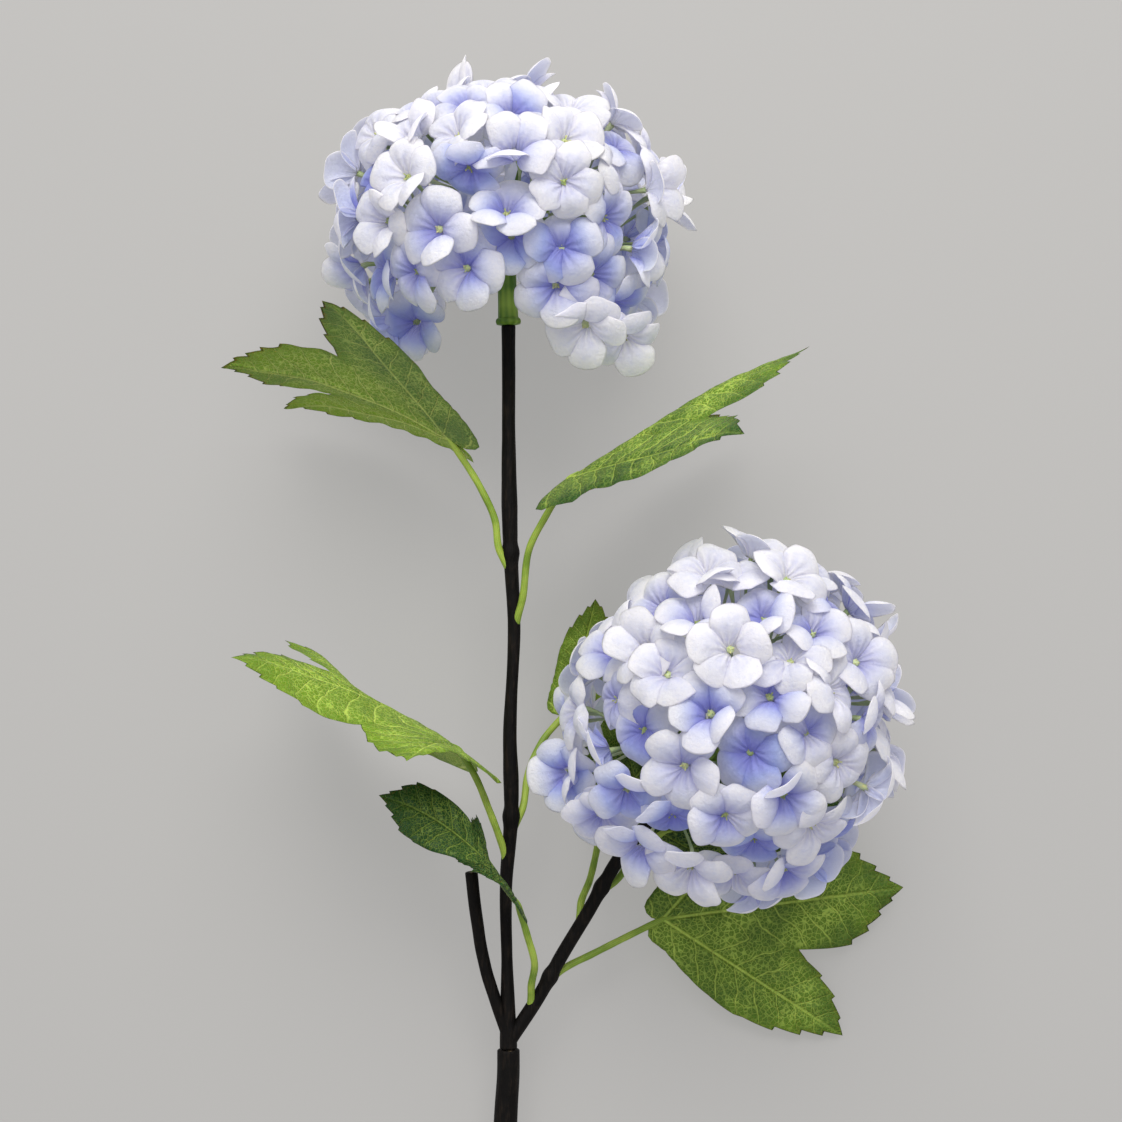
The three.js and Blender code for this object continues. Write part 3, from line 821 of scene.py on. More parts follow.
@dataclass
class Stems:
    """The dark woody framework: lower stem, main stem, side branch and the stub of a third."""

    finish: BarkFinish = field(default_factory=BarkFinish)

    def build(self, pose: Pose) -> None:
        """Makes and dresses each stem."""
        bark = self.finish.make()
        for seed, (name, stem) in enumerate(STEMS.items()):
            dress(put(f"bark_{name}", stem.patch(seed + 1), pose, bark), Slot.BARK, name)


# ---- leaves


@dataclass(frozen=True)
class Leaf:
    """One leaf. The stalk runs from the stem to the blade, and the blade is an arc in its own frame.

    along is the midrib's direction at the stalk and across runs over the width, both in the spray's frame.
    bend, fold and twist are degrees: over the length, of each half and from base to tip. tone is how light its
    green is, partly the leaf's own green and partly painted light and shade for how the light falls on it.
    shift
    is painted light and shade too: what one side adds to that and the other takes away. wave is how far its
    edge wanders. spread turns the two side lobes outwards in degrees, reach is their size, and base how far the
    blade widens behind the stalk.
    """

    stalk: tuple[Point, Point, Point, Point]
    length: float
    along: Point
    across: Point
    bend: float
    fold: float
    twist: float
    tone: float = 0.2
    shift: float = 0.0
    wave: float = 1.6
    spread: tuple[float, float] = (0.0, 0.0)
    reach: tuple[float, float] = (1.0, 1.0)
    base: float = 0.6

    def beyond(self, distance: float) -> Array:
        """The point that far past the stalk's end, straight on."""
        stalk = np.array(self.stalk, float)
        return stalk[-1] + unit(stalk[-1] - stalk[-2]) * distance


# A leaf's tone is partly its own green and partly painted light and shade: lower_left and branch_right are made
# darker for the shade they lie in, and shift paints one half of a leaf lighter and the other darker.
LEAVES = {
    "upper_left": Leaf(
        stalk=((-3, 178, 1.5), (-4.6, 189, 4), (-9.5, 200, 6), (-19.8, 216.4, 8)),
        length=87, along=(-0.82, 0.55, -0.1), across=(0.12, 0.25, 0.96), bend=34, fold=8, twist=4,
        tone=0.6, shift=-0.36, spread=(5.0, -7.0), reach=(0.95, 1.04), base=0.9,
    ),
    "upper_right": Leaf(
        stalk=((4.9, 159, 3), (8.3, 180, 8), (13.6, 190, 11), (21.2, 202.3, 16)),
        length=97, along=(0.84, 0.54, 0), across=(0.28, 0.2, -0.94), bend=6, fold=-15, twist=0,
        tone=0.22, shift=0.2, spread=(0.0, 10.0), base=1.2,
    ),
    "middle_left": Leaf(
        stalk=((-2.6, 74, 2.5), (-6.8, 85.7, 5), (-11.4, 97, 6), (-16.6, 105.8, 7)),
        length=90, along=(-0.76, 0.57, 0.3), across=(0.5, -0.1, 0.86), bend=24, fold=-10, twist=-24,
        tone=0.5, wave=1.2, spread=(18.0, 0.0), reach=(0.75, 1.0), base=1.3,
    ),
    "middle_right": Leaf(
        stalk=((4.9, 84, -2.6), (7.4, 98, -7), (12.6, 109, -11), (20.5, 118, -15)),
        length=50, along=(0.74, 0.5, -0.2), across=(-0.55, 0.78, -0.05), bend=8, fold=-4, twist=0, tone=0.4,
    ),
    "lower_left": Leaf(
        stalk=((8.4, 21.5, 3.6), (9.7, 31, 10), (7.2, 42, 15), (4.3, 52.6, 19)),
        length=64, along=(-0.5, 0.86, 0.1), across=(0.1, 0.05, 1), bend=40, fold=-6, twist=-56,
        tone=-0.35, wave=1.2, spread=(-12.0, -14.0), reach=(0.45, 0.6), base=0.7,
    ),
    "lower_right": Leaf(
        stalk=((20.4, 27.2, -3), (30, 31.5, -6), (42, 37, -9), (55, 42.8, -12)),
        length=90, along=(0.97, 0.12, -0.03), across=(-0.12, 0.97, -0.08), bend=5, fold=-3, twist=3,
        tone=0.22, base=0.0,
    ),
    "branch_left": Leaf(
        stalk=((26.2, 50.5, -1.5), (29.5, 58, -9), (32, 67, -16), (34, 77, -22)),
        length=56, along=(0.62, 0.78, -0.08), across=(-0.78, 0.62, 0.05), bend=8, fold=-8, twist=0, tone=0.0,
    ),
    "branch_right": Leaf(
        stalk=((40.2, 60.5, -0.6), (44, 66, -3), (49, 70.6, -6.8), (54.7, 74.3, -9)),
        length=80, along=(0.97, 0.18, -0.1), across=(-0.2, 0.95, -0.14), bend=4, fold=-3, twist=0,
        tone=-0.2, wave=1.0, reach=(1.0, 0.55), base=0.2,
    ),
}

# Half of a blade's outline from the middle lobe's tip to the base: degrees from the midrib, and the distance
# from the stalk as a share of the length. Teeth stand on both lobes.
BLADE_EDGE = (
    (0, 1.0), (2.2, 0.945), (3.0, 0.952), (5.4, 0.893), (6.4, 0.905), (9.4, 0.845), (10.8, 0.855),
    (13.8, 0.79), (15.2, 0.792), (17.6, 0.69), (20, 0.575), (23.5, 0.62), (26.8, 0.70), (27.8, 0.694),
    (31.4, 0.78), (32.6, 0.772), (36.2, 0.84), (37.2, 0.836), (40, 0.885), (41.9, 0.81), (43.2, 0.815),
    (45.6, 0.73), (47.2, 0.737), (50.8, 0.635), (52.4, 0.638), (57.8, 0.515), (60.4, 0.48), (66, 0.36),
    (73, 0.255), (81, 0.18), (92, 0.13), (106, 0.11), (122, 0.1), (138, 0.09), (152, 0.07), (166, 0.045),
    (180, 0.02),
)
RIBS = (0.0, 40.0)


@dataclass
class Blade:
    """A blade's surface: rows from the stalk outwards in all directions, on two sides that meet at the edge.

    step, rib_width and the scales are shares of the leaf's length, and the other measures are millimetres.
    """

    leaf: Leaf
    seed: int
    rows: int = 30
    row_power: float = 0.8
    last_row: float = 0.985
    step: float = 0.022
    thickness: float = 0.45
    stalk_overlap: float = 1.3
    puff: float = 0.55
    wave_scale: float = 0.55
    frill: float = 0.6
    frill_scale: float = 0.16
    rib_depth: float = 0.7
    rib_width: float = 0.012

    def outline(self) -> tuple[Array, Array]:
        """The edge's angles in radians and its reach, with points added where teeth stand far apart."""
        degrees, reach = np.array(BLADE_EDGE, float).T
        angles = np.radians(degrees)
        flat = np.stack([reach * np.cos(angles), reach * np.sin(angles)], -1)
        pieces = np.round(np.linalg.norm(np.diff(flat, axis=0), axis=1) / self.step)
        counts = np.maximum(1, pieces).astype(int)
        steps = [start + np.arange(count) / count for start, count in enumerate(counts)]
        at = np.concatenate([*steps, [len(flat) - 1]])
        angles, reach = (np.interp(at, range(len(flat)), part) for part in (angles, reach))
        return np.concatenate([angles, -angles[-2:0:-1]]), np.concatenate([reach, reach[-2:0:-1]])

    def bend(self, x: Array, y: Array, rise: Array) -> Array:
        """Points of the blade from x along the midrib, y across it and a rise off it, all in millimetres.

        The midrib is an arc that turns by bend over the length. Each half stands at the fold angle, and the
        cross-section turns by twist towards the tip.
        """
        leaf = self.leaf
        forward = unit(leaf.along)
        upward = unit(np.cross(forward, leaf.across))
        sideways = np.cross(upward, forward)
        bend, fold = math.radians(leaf.bend), math.radians(leaf.fold)
        share = x / leaf.length
        angle = (bend * share)[..., None]
        reach = leaf.length * np.sin(angle) / bend
        sag = leaf.length * (1 - np.cos(angle)) / bend
        normal = upward * np.cos(angle) + forward * np.sin(angle)
        turn = (math.radians(leaf.twist) * smooth(0.15, 0.6, share))[..., None]
        side = sideways * np.cos(turn) + normal * np.sin(turn)
        top = normal * np.cos(turn) - sideways * np.sin(turn)
        off = (np.abs(y) * math.sin(fold) + rise)[..., None]
        base = leaf.beyond(self.stalk_overlap)
        return base + forward * reach - upward * sag + side * (y * math.cos(fold))[..., None] + top * off

    def plan(self, angles: Array, radius: Array, lobe: Array) -> tuple[Array, Array]:
        """Where the points are in the flat blade, with its side lobes turned and sized and its base widened.

        Args:
            angles: Each column's angle from the midrib, in radians.
            radius: Each point's distance from the stalk before that, as a share of the length.
            lobe: How far each column belongs to a side lobe.

        Returns:
            x along the midrib and y across it, as shares of the length.
        """
        wide, ahead = np.abs(angles), angles > 0
        turn = np.radians(np.where(ahead, self.leaf.spread[0], -self.leaf.spread[1])) * lobe
        turn = angles + turn * smooth(math.pi, math.radians(120), wide)
        size = 1 + (np.where(ahead, *self.leaf.reach) - 1) * lobe * smooth(*np.radians([110, 70]), wide)
        size = size * (1 + self.leaf.base * smooth(*np.radians([62, 98]), wide))
        return radius * size * np.cos(turn), radius * size * np.sin(turn)

    def relief(self, spot: Array, radius: Array, share: Array, rib: Array) -> tuple[Array, Array]:
        """How far the points stand off the bent sheet.

        Between side veins the blade puffs up, by the power 0.7 of a sine's size. Its edge wanders up and down
        in long waves and a finer frill. A rib's groove falls off as an exponential of the distance squared.

        Args:
            spot: The points in the flat blade.
            radius: Their distances from the stalk.
            share: Each row's share of the way to the edge.
            rib: The way along and off the nearest rib.

        Returns:
            The rise of both sides and the ribs' groove, in millimetres.
        """
        along, aside = rib[..., 0], rib[..., 1]
        phase = (along - aside * LeafFinish.vein_slope) / LeafFinish.vein_step
        fade = smooth(0, 0.12, radius) * smooth(1.0, 0.85, share) * smooth(0, 0.03, aside)
        quilt = self.puff * np.abs(np.sin(np.pi * (phase - 0.5))) ** 0.7 * fade
        wander = ripple(spot, self.wave_scale, self.seed) * smooth(0.1, 0.9, radius) * self.leaf.wave
        frill = ripple(spot, self.frill_scale, self.seed + 40) * share**3 * self.frill
        groove = -self.rib_depth * np.exp(-((aside / self.rib_width) ** 2)) * smooth(0, 0.05, radius)
        return quilt + wander + frill, groove

    def patch(self) -> Patch:
        """The blade as one closed patch.

        A point stands at a share of the edge's reach in its direction. The ribs lie sunk on top and stand out
        beneath. The points carry "rib", the way along and off the nearest rib, "flat", the place in the flat
        blade with the side, and "tone".
        """
        angles, reach = self.outline()
        share = np.append(np.linspace(0, 1, self.rows)[1:] ** self.row_power * self.last_row, 1.0)[:, None]
        radius = share * reach
        lobe = smooth(math.radians(8), math.radians(40), np.abs(angles))
        x, y = self.plan(angles, radius, lobe)
        nearest = np.abs(np.abs(angles)[:, None] - np.radians(RIBS)).min(axis=1)
        rib = np.stack(np.broadcast_arrays(radius * np.cos(nearest), radius * np.sin(nearest), share), -1)
        common, groove = self.relief(np.stack([x, y, np.full_like(x, self.seed)], -1), radius, share, rib)
        taper = self.thickness * (1 - share**6)
        along, across, zero = x * self.leaf.length, y * self.leaf.length, np.zeros(1)
        upper = self.bend(along, across, common + groove * 0.7 + taper)
        lower = self.bend(along, across, common + groove - taper)
        top_base = self.bend(zero, zero, zero + self.thickness)
        low_base = self.bend(zero, zero, zero - self.thickness)
        flat = np.stack([x, y, np.zeros_like(x)], -1)
        sides = np.broadcast_to(lobe * np.sign(angles), radius.shape)[..., None]
        nought, below = np.zeros((1, 3)), np.array([[0, 0, 1.0]])
        # Each point's side times how far into a lobe it lies. With shift, this paints one half of the blade
        # lighter and the other darker, as painted light and shade.
        tone = self.two_sides(sides, nought[:, :1], sides, nought[:, :1])[:, 0]
        values = {
            "rib": self.two_sides(rib, nought, rib, nought),
            "flat": self.two_sides(flat, nought, flat + below, below),
            "tone": self.leaf.tone + self.leaf.shift * tone,
        }
        return Patch(self.two_sides(upper, top_base, lower, low_base), *self.faces(*radius.shape), values)

    @staticmethod
    def two_sides(upper: Array, top_base: Array, lower: Array, low_base: Array) -> Array:
        """Rows of both sides and their bases in one list, without the lower side's last row, the edge."""
        width = upper.shape[-1]
        return np.concatenate([upper.reshape(-1, width), top_base, lower[:-1].reshape(-1, width), low_base])

    @staticmethod
    def faces(rows: int, columns: int) -> tuple[Array, Array]:
        """The quads between the rows of both sides, and the triangles round their bases."""
        count = rows * columns
        top = np.arange(count).reshape(rows, columns)
        under = np.concatenate([top[:-1] + count + 1, top[-1:]])
        quads = np.concatenate([grid_quads(top, closed=True), grid_quads(under, closed=True)[:, ::-1]])
        return quads, np.concatenate([fan(count, top[0]), fan(under[-2, -1] + 1, under[0], flip=True)])


@dataclass
class Foliage:
    """All leaves with their stalks."""

    blade_finish: LeafFinish = field(default_factory=LeafFinish)
    stalk_finish: StalkFinish = field(default_factory=StalkFinish)
    stalk_radius: float = 1.35
    stalk_sides: int = 14
    stalk_rings: int = 46
    root: float = 9.0
    core_steps: int = 200
    onto_base: float = 1.5
    onto_rib: float = 4.0

    def stalk(self, leaf: Leaf) -> Patch:
        """A tapered tube with a foot plugged into the stem and a groove along its upper side.

        It starts in the core of the nearest stem, a little below where it leaves it, and ends under the
        midrib. Its radius falls off evenly, with a hump at the foot, a point at the end and slight waves.
        """
        stalk = np.array(leaf.stalk, float)
        below = stalk[0] - unit(stalk[1] - stalk[0]) * self.root
        paths = [smooth_path(np.array(stem.path, float), self.core_steps) for stem in STEMS.values()]
        cores = np.concatenate(paths)
        into = cores[np.linalg.norm(cores - below, axis=1).argmin()]
        base = leaf.beyond(self.onto_base)
        onto = base + unit(leaf.along) * self.onto_rib
        line = smooth_path(np.array([into, *stalk, base, onto]), self.stalk_rings)
        share = np.linspace(0, 1, self.stalk_rings)
        radii = self.stalk_radius * (1.0 - 0.12 * share + 0.32 * np.exp(-((share / 0.06) ** 2)))
        radii = radii * (1 - 0.75 * smooth(0.88, 1.0, share)) + 0.03 * np.sin(share * 40)
        turn = round_turn(self.stalk_sides)
        groove = 1 - 0.16 * np.exp(-((np.cos((turn - 1.2) / 2) / 0.3) ** 2)) + 0.03 * np.cos(turn * 3)
        return tube(line, radii, self.stalk_sides, groove)

    def build(self, pose: Pose) -> None:
        """Makes and dresses every stalk and blade."""
        green, skin = self.stalk_finish.make(), self.blade_finish.make()
        for seed, (name, leaf) in enumerate(LEAVES.items()):
            stalk = put(f"stalk_{name}", self.stalk(leaf), pose, green)
            dress(stalk, Slot.LEAF_STALK, f"leaf_stalk_{name}")
            blade = put(f"blade_{name}", pose.rested(Blade(leaf, seed + 1).patch()), pose, skin)
            dress(blade, Slot.LEAF, f"leaf_blade_{name}")


# ---- flower heads


def disc(cells: int) -> tuple[Array, Array, Array]:
    """A square grid drawn out to a round disc, on two sides that share their rim.

    A square's x becomes x times the root of one less half of y squared, and y the same with x.

    Args:
        cells: The number of cells along the square's side.

    Returns:
        The points' x and y, the side of each (1 above, -1 below, 0 on the rim), and the quads.
    """
    x, y = square(cells + 1)
    rim = np.maximum(np.abs(x), np.abs(y)) > 1 - 1e-9
    round_xy = np.stack([x * np.sqrt(1 - y * y / 2), y * np.sqrt(1 - x * x / 2)], -1)
    count = (cells + 1) ** 2
    below = np.arange(count)
    below[~rim] = count + np.arange((~rim).sum())
    quads = grid_quads(np.arange(count).reshape(cells + 1, cells + 1))
    places = np.concatenate([round_xy, round_xy[~rim]])
    sides = np.concatenate([np.where(rim, 0, 1), np.full((~rim).sum(), -1)])
    return places, sides, np.concatenate([quads, below[quads][:, ::-1]])


@dataclass
class Florets:
    """Where a head's florets stand: the middle of each, the way it faces, how blue it is and its cluster."""

    middles: Array
    facings: Array
    blue: Array
    cluster: Array

    def frames(self) -> tuple[Array, Array]:
        """Two directions square to each floret's facing."""
        aside = unit(np.cross(np.array([0.3, 0.5, 0.8]), self.facings))
        return aside, np.cross(self.facings, aside)


@dataclass
class Petals:
    """Five spoon-shaped petals to a floret, puffed up, sunk to a throat and lapped over each other.

    Measures are millimetres and degrees. Near another floret's middle, within dodge_reach, a petal is pitched
    by up to dodge_pitch: up where its floret stands above that one's level, else down by duck times that.
    """

    length: float = 15.8
    width: float = 7.7
    throat_depth: float = 4.8
    throat_power: float = 2.4
    puff: float = 3.3
    ruffle: float = 0.34
    notch: float = 0.9
    notch_width: float = 0.35
    thickness: float = 0.16
    inset: float = 0.6
    lap: float = 8.0
    cells: int = 7
    dodge_reach: float = 14.0
    dodge_pitch: float = 34.0
    duck: float = 0.75
    level: float = -0.4

    def patches(self, florets: Florets, draw: np.random.Generator) -> list[Patch]:
        """One patch for each floret, of petals that are rolled over their neighbours, pitched and turned.

        The points carry "petal", the place in the petal and the way from its middle to its edge, "tint", how
        blue the petal is, and "under", one on its lower side.

        Args:
            florets: Where they stand.
            draw: Draws the sizes, the angles, the folds and the tints.

        Returns:
            The patches, in the florets' order.
        """
        places, sides, quads = disc(self.cells)
        count = len(florets.middles)
        one, each = (count, 1), (count, PETALS)
        length = self.length * draw.uniform(0.9, 1.06, one) * draw.uniform(0.94, 1.05, each)
        width = self.width * draw.uniform(0.92, 1.1, one) * draw.uniform(0.93, 1.07, each)
        pitch = np.radians(draw.normal(7, 11, one) + draw.normal(0, 10, each))
        roll = np.radians(self.lap + draw.normal(0, 5, each))[..., None]
        turn = draw.uniform(0, 2 * np.pi, one) + np.arange(PETALS) * 2 * np.pi / PETALS
        turn = (turn + draw.normal(0, 0.07, each))[..., None]
        droop = draw.uniform(0.8, 4.2, one) + draw.normal(0, 0.9, each)
        phase = draw.uniform(0, 2 * np.pi, (*each, 2))
        notch = self.notch * draw.normal(0.35, 0.7, each)
        tint = florets.blue[:, None] * draw.uniform(0.6, 1.3, each)
        aside, up = florets.frames()
        ways = np.cos(turn) * aside[:, None] + np.sin(turn) * up[:, None]
        pitch = (pitch + self.dodge(florets, ways, length))[..., None]
        y = (places[:, 1] + 1) / 2
        sizes = np.stack([length, width, droop, notch])[..., None]
        wide, long, height = self.spoon(places[:, 0], y, sizes, phase, sides)
        rolled = wide * np.cos(roll) - height * np.sin(roll)
        height = wide * np.sin(roll) + height * np.cos(roll)
        outward = long * np.cos(pitch) - height * np.sin(pitch)
        upward = long * np.sin(pitch) * y + height * np.cos(pitch)
        across = np.cross(florets.facings[:, None], ways)
        points = (
            florets.middles[:, None, None]
            + ways[:, :, None] * outward[..., None]
            + across[:, :, None] * rolled[..., None]
            + florets.facings[:, None, None] * upward[..., None]
        )
        petal = np.stack([places[:, 0], y, np.sqrt((places**2).sum(axis=1))], -1)
        values = {
            "petal": np.broadcast_to(petal, (PETALS, *petal.shape)),
            "under": np.broadcast_to(np.maximum(-sides, 0.0), (PETALS, len(sides))),
        }
        tints = np.repeat(tint[..., None], len(y), axis=2)
        no_tris = np.zeros((0, 3), int)
        return [repeated(own, quads, no_tris, {**values, "tint": tone}) for own, tone in zip(points, tints)]

    def spoon(
        self, x: Array, y: Array, sizes: Array, phase: Array, sides: Array
    ) -> tuple[Array, Array, Array]:
        """Every petal before it is turned, with its y from the heart to the tip.

        Its width grows from the heart outwards. Its tip is notched more or less, or comes to a blunt point.
        Its height is a puff that falls with the square of the way from its middle to its edge, less a throat
        at the heart, less a droop at the tip, plus a ruffle.

        Args:
            x: Across the disc, from -1 to 1.
            y: Along the petal, from 0 to 1.
            sizes: Length, width, droop and notch of each petal.
            phase: Where its two ruffles start.
            sides: The side of each of the disc's points.

        Returns:
            The way across, the way out from the heart and the height, in millimetres.
        """
        length, width, droop, notch = sizes
        first, second = phase[..., :1], phase[..., 1:]
        middle = 1 - (x**2 + (2 * y - 1) ** 2)
        wide = width * x * (0.5 + 0.5 * smooth(0, 0.55, y))
        wide = wide * (1 + 0.05 * np.sin(y * 9 + first * 2) * np.sign(x))
        long = length * y - self.inset - notch * np.exp(-((x / self.notch_width) ** 2)) * y**4
        height = (
            self.puff * middle
            - self.throat_depth * (1 - y) ** self.throat_power
            - droop * y**2.5
            + self.ruffle * np.sin(x * 3.0 + first) * smooth(0.3, 1.0, y)
            + self.ruffle * np.sin(y * 5 + x * 2 + second) * smooth(0.35, 0.9, y) * np.abs(x)
            + self.thickness * sides
        )
        return wide, long, height

    def dodge(self, florets: Florets, ways: Array, length: Array) -> Array:
        """The pitch in radians that takes a petal over or under the floret that its tip comes near."""
        tips = florets.middles[:, None] + ways * length[..., None]
        gaps = np.linalg.norm(tips[:, :, None] - florets.middles[None, None], axis=-1)
        own = np.arange(len(florets.middles))
        gaps[own, :, own] = np.inf
        other = gaps.argmin(axis=-1)
        closeness = np.clip(1 - gaps.min(axis=-1) / self.dodge_reach, 0, 1)
        rise = ((florets.middles[:, None] - florets.middles[other]) * florets.facings[other]).sum(-1)
        return np.where(rise > self.level, 1.0, -self.duck) * closeness * math.radians(self.dodge_pitch)


@dataclass
class Hearts:
    """A floret's heart: a small yellow-green knob with pale spikes round it."""

    knob_radius: float = 0.62
    knob_height: float = 1.5
    spikes: int = 3
    spike_length: float = 2.4
    spike_radius: float = 0.2
    sink: float = 3.6

    def template(self) -> tuple[Array, Array, Array]:
        """The heart's points in a floret's frame, with its quads and triangles."""
        knob = tube(
            np.array([[0, 0, z] for z in (-0.8, 0.0, 0.5, 1.0)]) * self.knob_height,
            self.knob_radius * np.array([0.8, 1.0, 0.9, 0.45]), 6,
        )
        parts = [knob]
        for spike in range(self.spikes):
            turn = 2 * np.pi * (spike + 0.3) / self.spikes
            lean = np.array([math.cos(turn), math.sin(turn), 0.0])
            line = np.array([lean * 0.2, lean * 0.6 + [0, 0, 1.5], lean * 1.1 + [0, 0, self.spike_length]])
            parts.append(tube(line, self.spike_radius * np.array([1.0, 0.8, 1.3]), 4))
        whole = Patch.joined(parts)
        return whole.points, whole.quads, whole.tris

    def patch(self, florets: Florets, draw: np.random.Generator) -> Patch:
        """All hearts of a head, each at the bottom of its floret's throat and turned at random."""
        points, quads, tris = self.template()
        count = len(florets.middles)
        turn = draw.uniform(0, 2 * np.pi, count)[:, None]
        size = draw.uniform(0.8, 1.2, count)[:, None]
        x = (points[:, 0] * np.cos(turn) - points[:, 1] * np.sin(turn)) * size
        y = (points[:, 0] * np.sin(turn) + points[:, 1] * np.cos(turn)) * size
        z = points[:, 2] * size - self.sink
        aside, up = florets.frames()
        shape = (
            florets.middles[:, None] + x[..., None] * aside[:, None] + y[..., None] * up[:, None]
            + z[..., None] * florets.facings[:, None]
        )
        way = np.stack([points[:, 0], points[:, 2] / 4, points[:, 2] * 0], -1)
        return repeated(shape, quads, tris, {"way": np.broadcast_to(way, shape.shape)})


# The collar at a flower stalk's foot: rings with how far up the stalk they are, and their radius.
COLLAR = np.array([[-0.4, 2.6], [0.0, 4.2], [0.9, 4.5], [1.7, 4.3], [2.3, 3.6]])
STALKLET_FLARE = np.array([1.1, 0.9, 0.85, 0.85, 0.85, 0.9, 1.1, 1.6, 2.2])


@dataclass
class Head:
    """One flower head: its green stalk, the rays and stalklets under the florets, hearts and petals.

    strays are florets that hang clear of the rest: where the middle of each is and the way it faces. tilt and
    lift are how far the other florets lean and stand off their packed places.
    """

    name: str
    centre: Point
    axis: Point
    stalk_start: Point
    seed: int
    blue_mean: float
    strays: tuple[tuple[Point, Point], ...] = ()
    receptacle: float = 15
    stalk_radius: float = 3.7
    stalk_rings: int = 40
    stalk_ribs: int = 5
    collar_sides: int = 30
    ray_radius: float = 1.0
    ray_rings: int = 14
    ray_bow: float = 5.0
    stalklet_radius: float = 0.62
    hub_reach: float = 0.6
    clusters: int = 16
    tilt: float = 0.24
    lift: tuple[float, float] = (-2.4, 2.6)
    petals: Petals = field(default_factory=Petals)
    hearts: Hearts = field(default_factory=Hearts)

    def node(self, number: int) -> str:
        """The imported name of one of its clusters."""
        return f"{self.name}_head_florets_{number:02d}"

    def find_florets(self, nodes: Packed, pose: Pose, draw: np.random.Generator) -> Florets:
        """Finds the florets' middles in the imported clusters: many long triangles meet at each of them.

        Each is then lifted or sunk and tilted a little. The head's strays follow, and each joins the cluster
        of the floret that it is nearest to.

        Args:
            nodes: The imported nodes.
            pose: How the spray lies.
            draw: Draws the tilts, the lifts and how blue each floret is.

        Returns:
            The head's florets.
        """
        middles, facings = [], []
        for number in range(1, self.clusters + 1):
            points, normals, shortest = fans(nodes[self.node(number)], FLORET_FAN)
            chosen = shortest > FLORET_EDGE * MM
            if chosen.sum() != FLORETS_PER_CLUSTER:
                raise ValueError(f"{self.node(number)} shows {chosen.sum()} florets")
            middles.append(pose.back(points[chosen]))
            facings.append(normals[chosen] @ pose.turn)
        places = np.concatenate(middles)
        facing = unit(np.concatenate(facings) + draw.normal(0, self.tilt, places.shape))
        places = places + facing * draw.uniform(*self.lift, (len(places), 1))
        cluster = np.repeat(np.arange(self.clusters), FLORETS_PER_CLUSTER)
        for middle, way in self.strays:
            nearest = np.linalg.norm(places - middle, axis=1).argmin()
            places = np.concatenate([places, [middle]])
            facing = np.concatenate([facing, [unit(way)]])
            cluster = np.append(cluster, cluster[nearest])
        return Florets(places, facing, self.blue_and_shade(places, facing, draw), cluster)

    def blue_and_shade(self, places: Array, facing: Array, draw: np.random.Generator) -> Array:
        """How blue each floret is, partly its dye and partly painted shade: more so low on the head, sunk among
        its six neighbours, and on strays.
        """
        low = -(places - places.mean(0))[:, 1] / 60
        gaps = np.linalg.norm(places[:, None] - places[None], axis=-1)
        near = np.argsort(gaps, axis=1)[:, 1:7]
        sunk = ((places[near].mean(1) - places) * facing).sum(-1) + 2.5
        stray = np.arange(len(places)) >= self.clusters * FLORETS_PER_CLUSTER
        noise = draw.normal(0, 0.27, len(places))
        # The low, sunk and stray terms are painted shade as well as dye: the florets that the light reaches
        # least are made bluer.
        return np.clip(self.blue_mean + 0.46 * low + 0.12 * sunk + 0.25 * stray + noise, 0.1, 1.3)

    def stalk(self, top: Array) -> list[Patch]:
        """The ribbed stalk, slightly waisted, up to the receptacle at the top, and the collar at its foot."""
        start = np.array(self.stalk_start, float)
        way = unit(top - start)
        share = np.linspace(0, 1, self.stalk_rings)
        line = start + (top + way * 3 - start) * share[:, None]
        radii = self.stalk_radius * (1 - 0.1 * np.sin(share * np.pi) + 0.12 * smooth(0.8, 1.0, share))
        radii = radii * np.where(share > 0.97, 0.7, 1.0)
        ribs = 1 + 0.07 * np.abs(np.cos(round_turn(self.stalk_rings) * self.stalk_ribs / 2)) - 0.03
        bumps = 1 + 0.06 * np.cos(np.arange(self.collar_sides) * 2.1)
        collar = tube(start + way * COLLAR[:, :1], COLLAR[:, 1], self.collar_sides, bumps)
        return [tube(line, radii, self.stalk_rings, ribs), collar]

    def green_parts(self, florets: Florets) -> tuple[Patch, Patch]:
        """The stalk with its collar and rays, and the stalklets from the rays' ends to the florets."""
        axis = unit(self.axis)
        top = np.array(self.centre) - axis * self.receptacle
        parts, stalklets = self.stalk(top), []
        taper = self.ray_radius * np.linspace(1.25, 0.85, self.ray_rings)
        for cluster in range(self.clusters):
            own = florets.cluster == cluster
            hub = top + (florets.middles[own].mean(0) - top) * self.hub_reach
            middle = top + (hub - top) * 0.5 + axis * self.ray_bow
            ray = smooth_path(np.array([top + (hub - top) * 0.08, middle, hub]), self.ray_rings)
            parts.append(tube(ray, taper, 8))
            for place, facing in zip(florets.middles[own], florets.facings[own]):
                foot = place - facing * 3.4
                bow = hub * 0.45 + foot * 0.55 - facing * 3.0
                stem = smooth_path(np.array([hub, bow, foot, place - facing * 2.2]), len(STALKLET_FLARE))
                stalklets.append(tube(stem, self.stalklet_radius * STALKLET_FLARE, 6))
        return Patch.joined(parts), Patch.joined(stalklets)

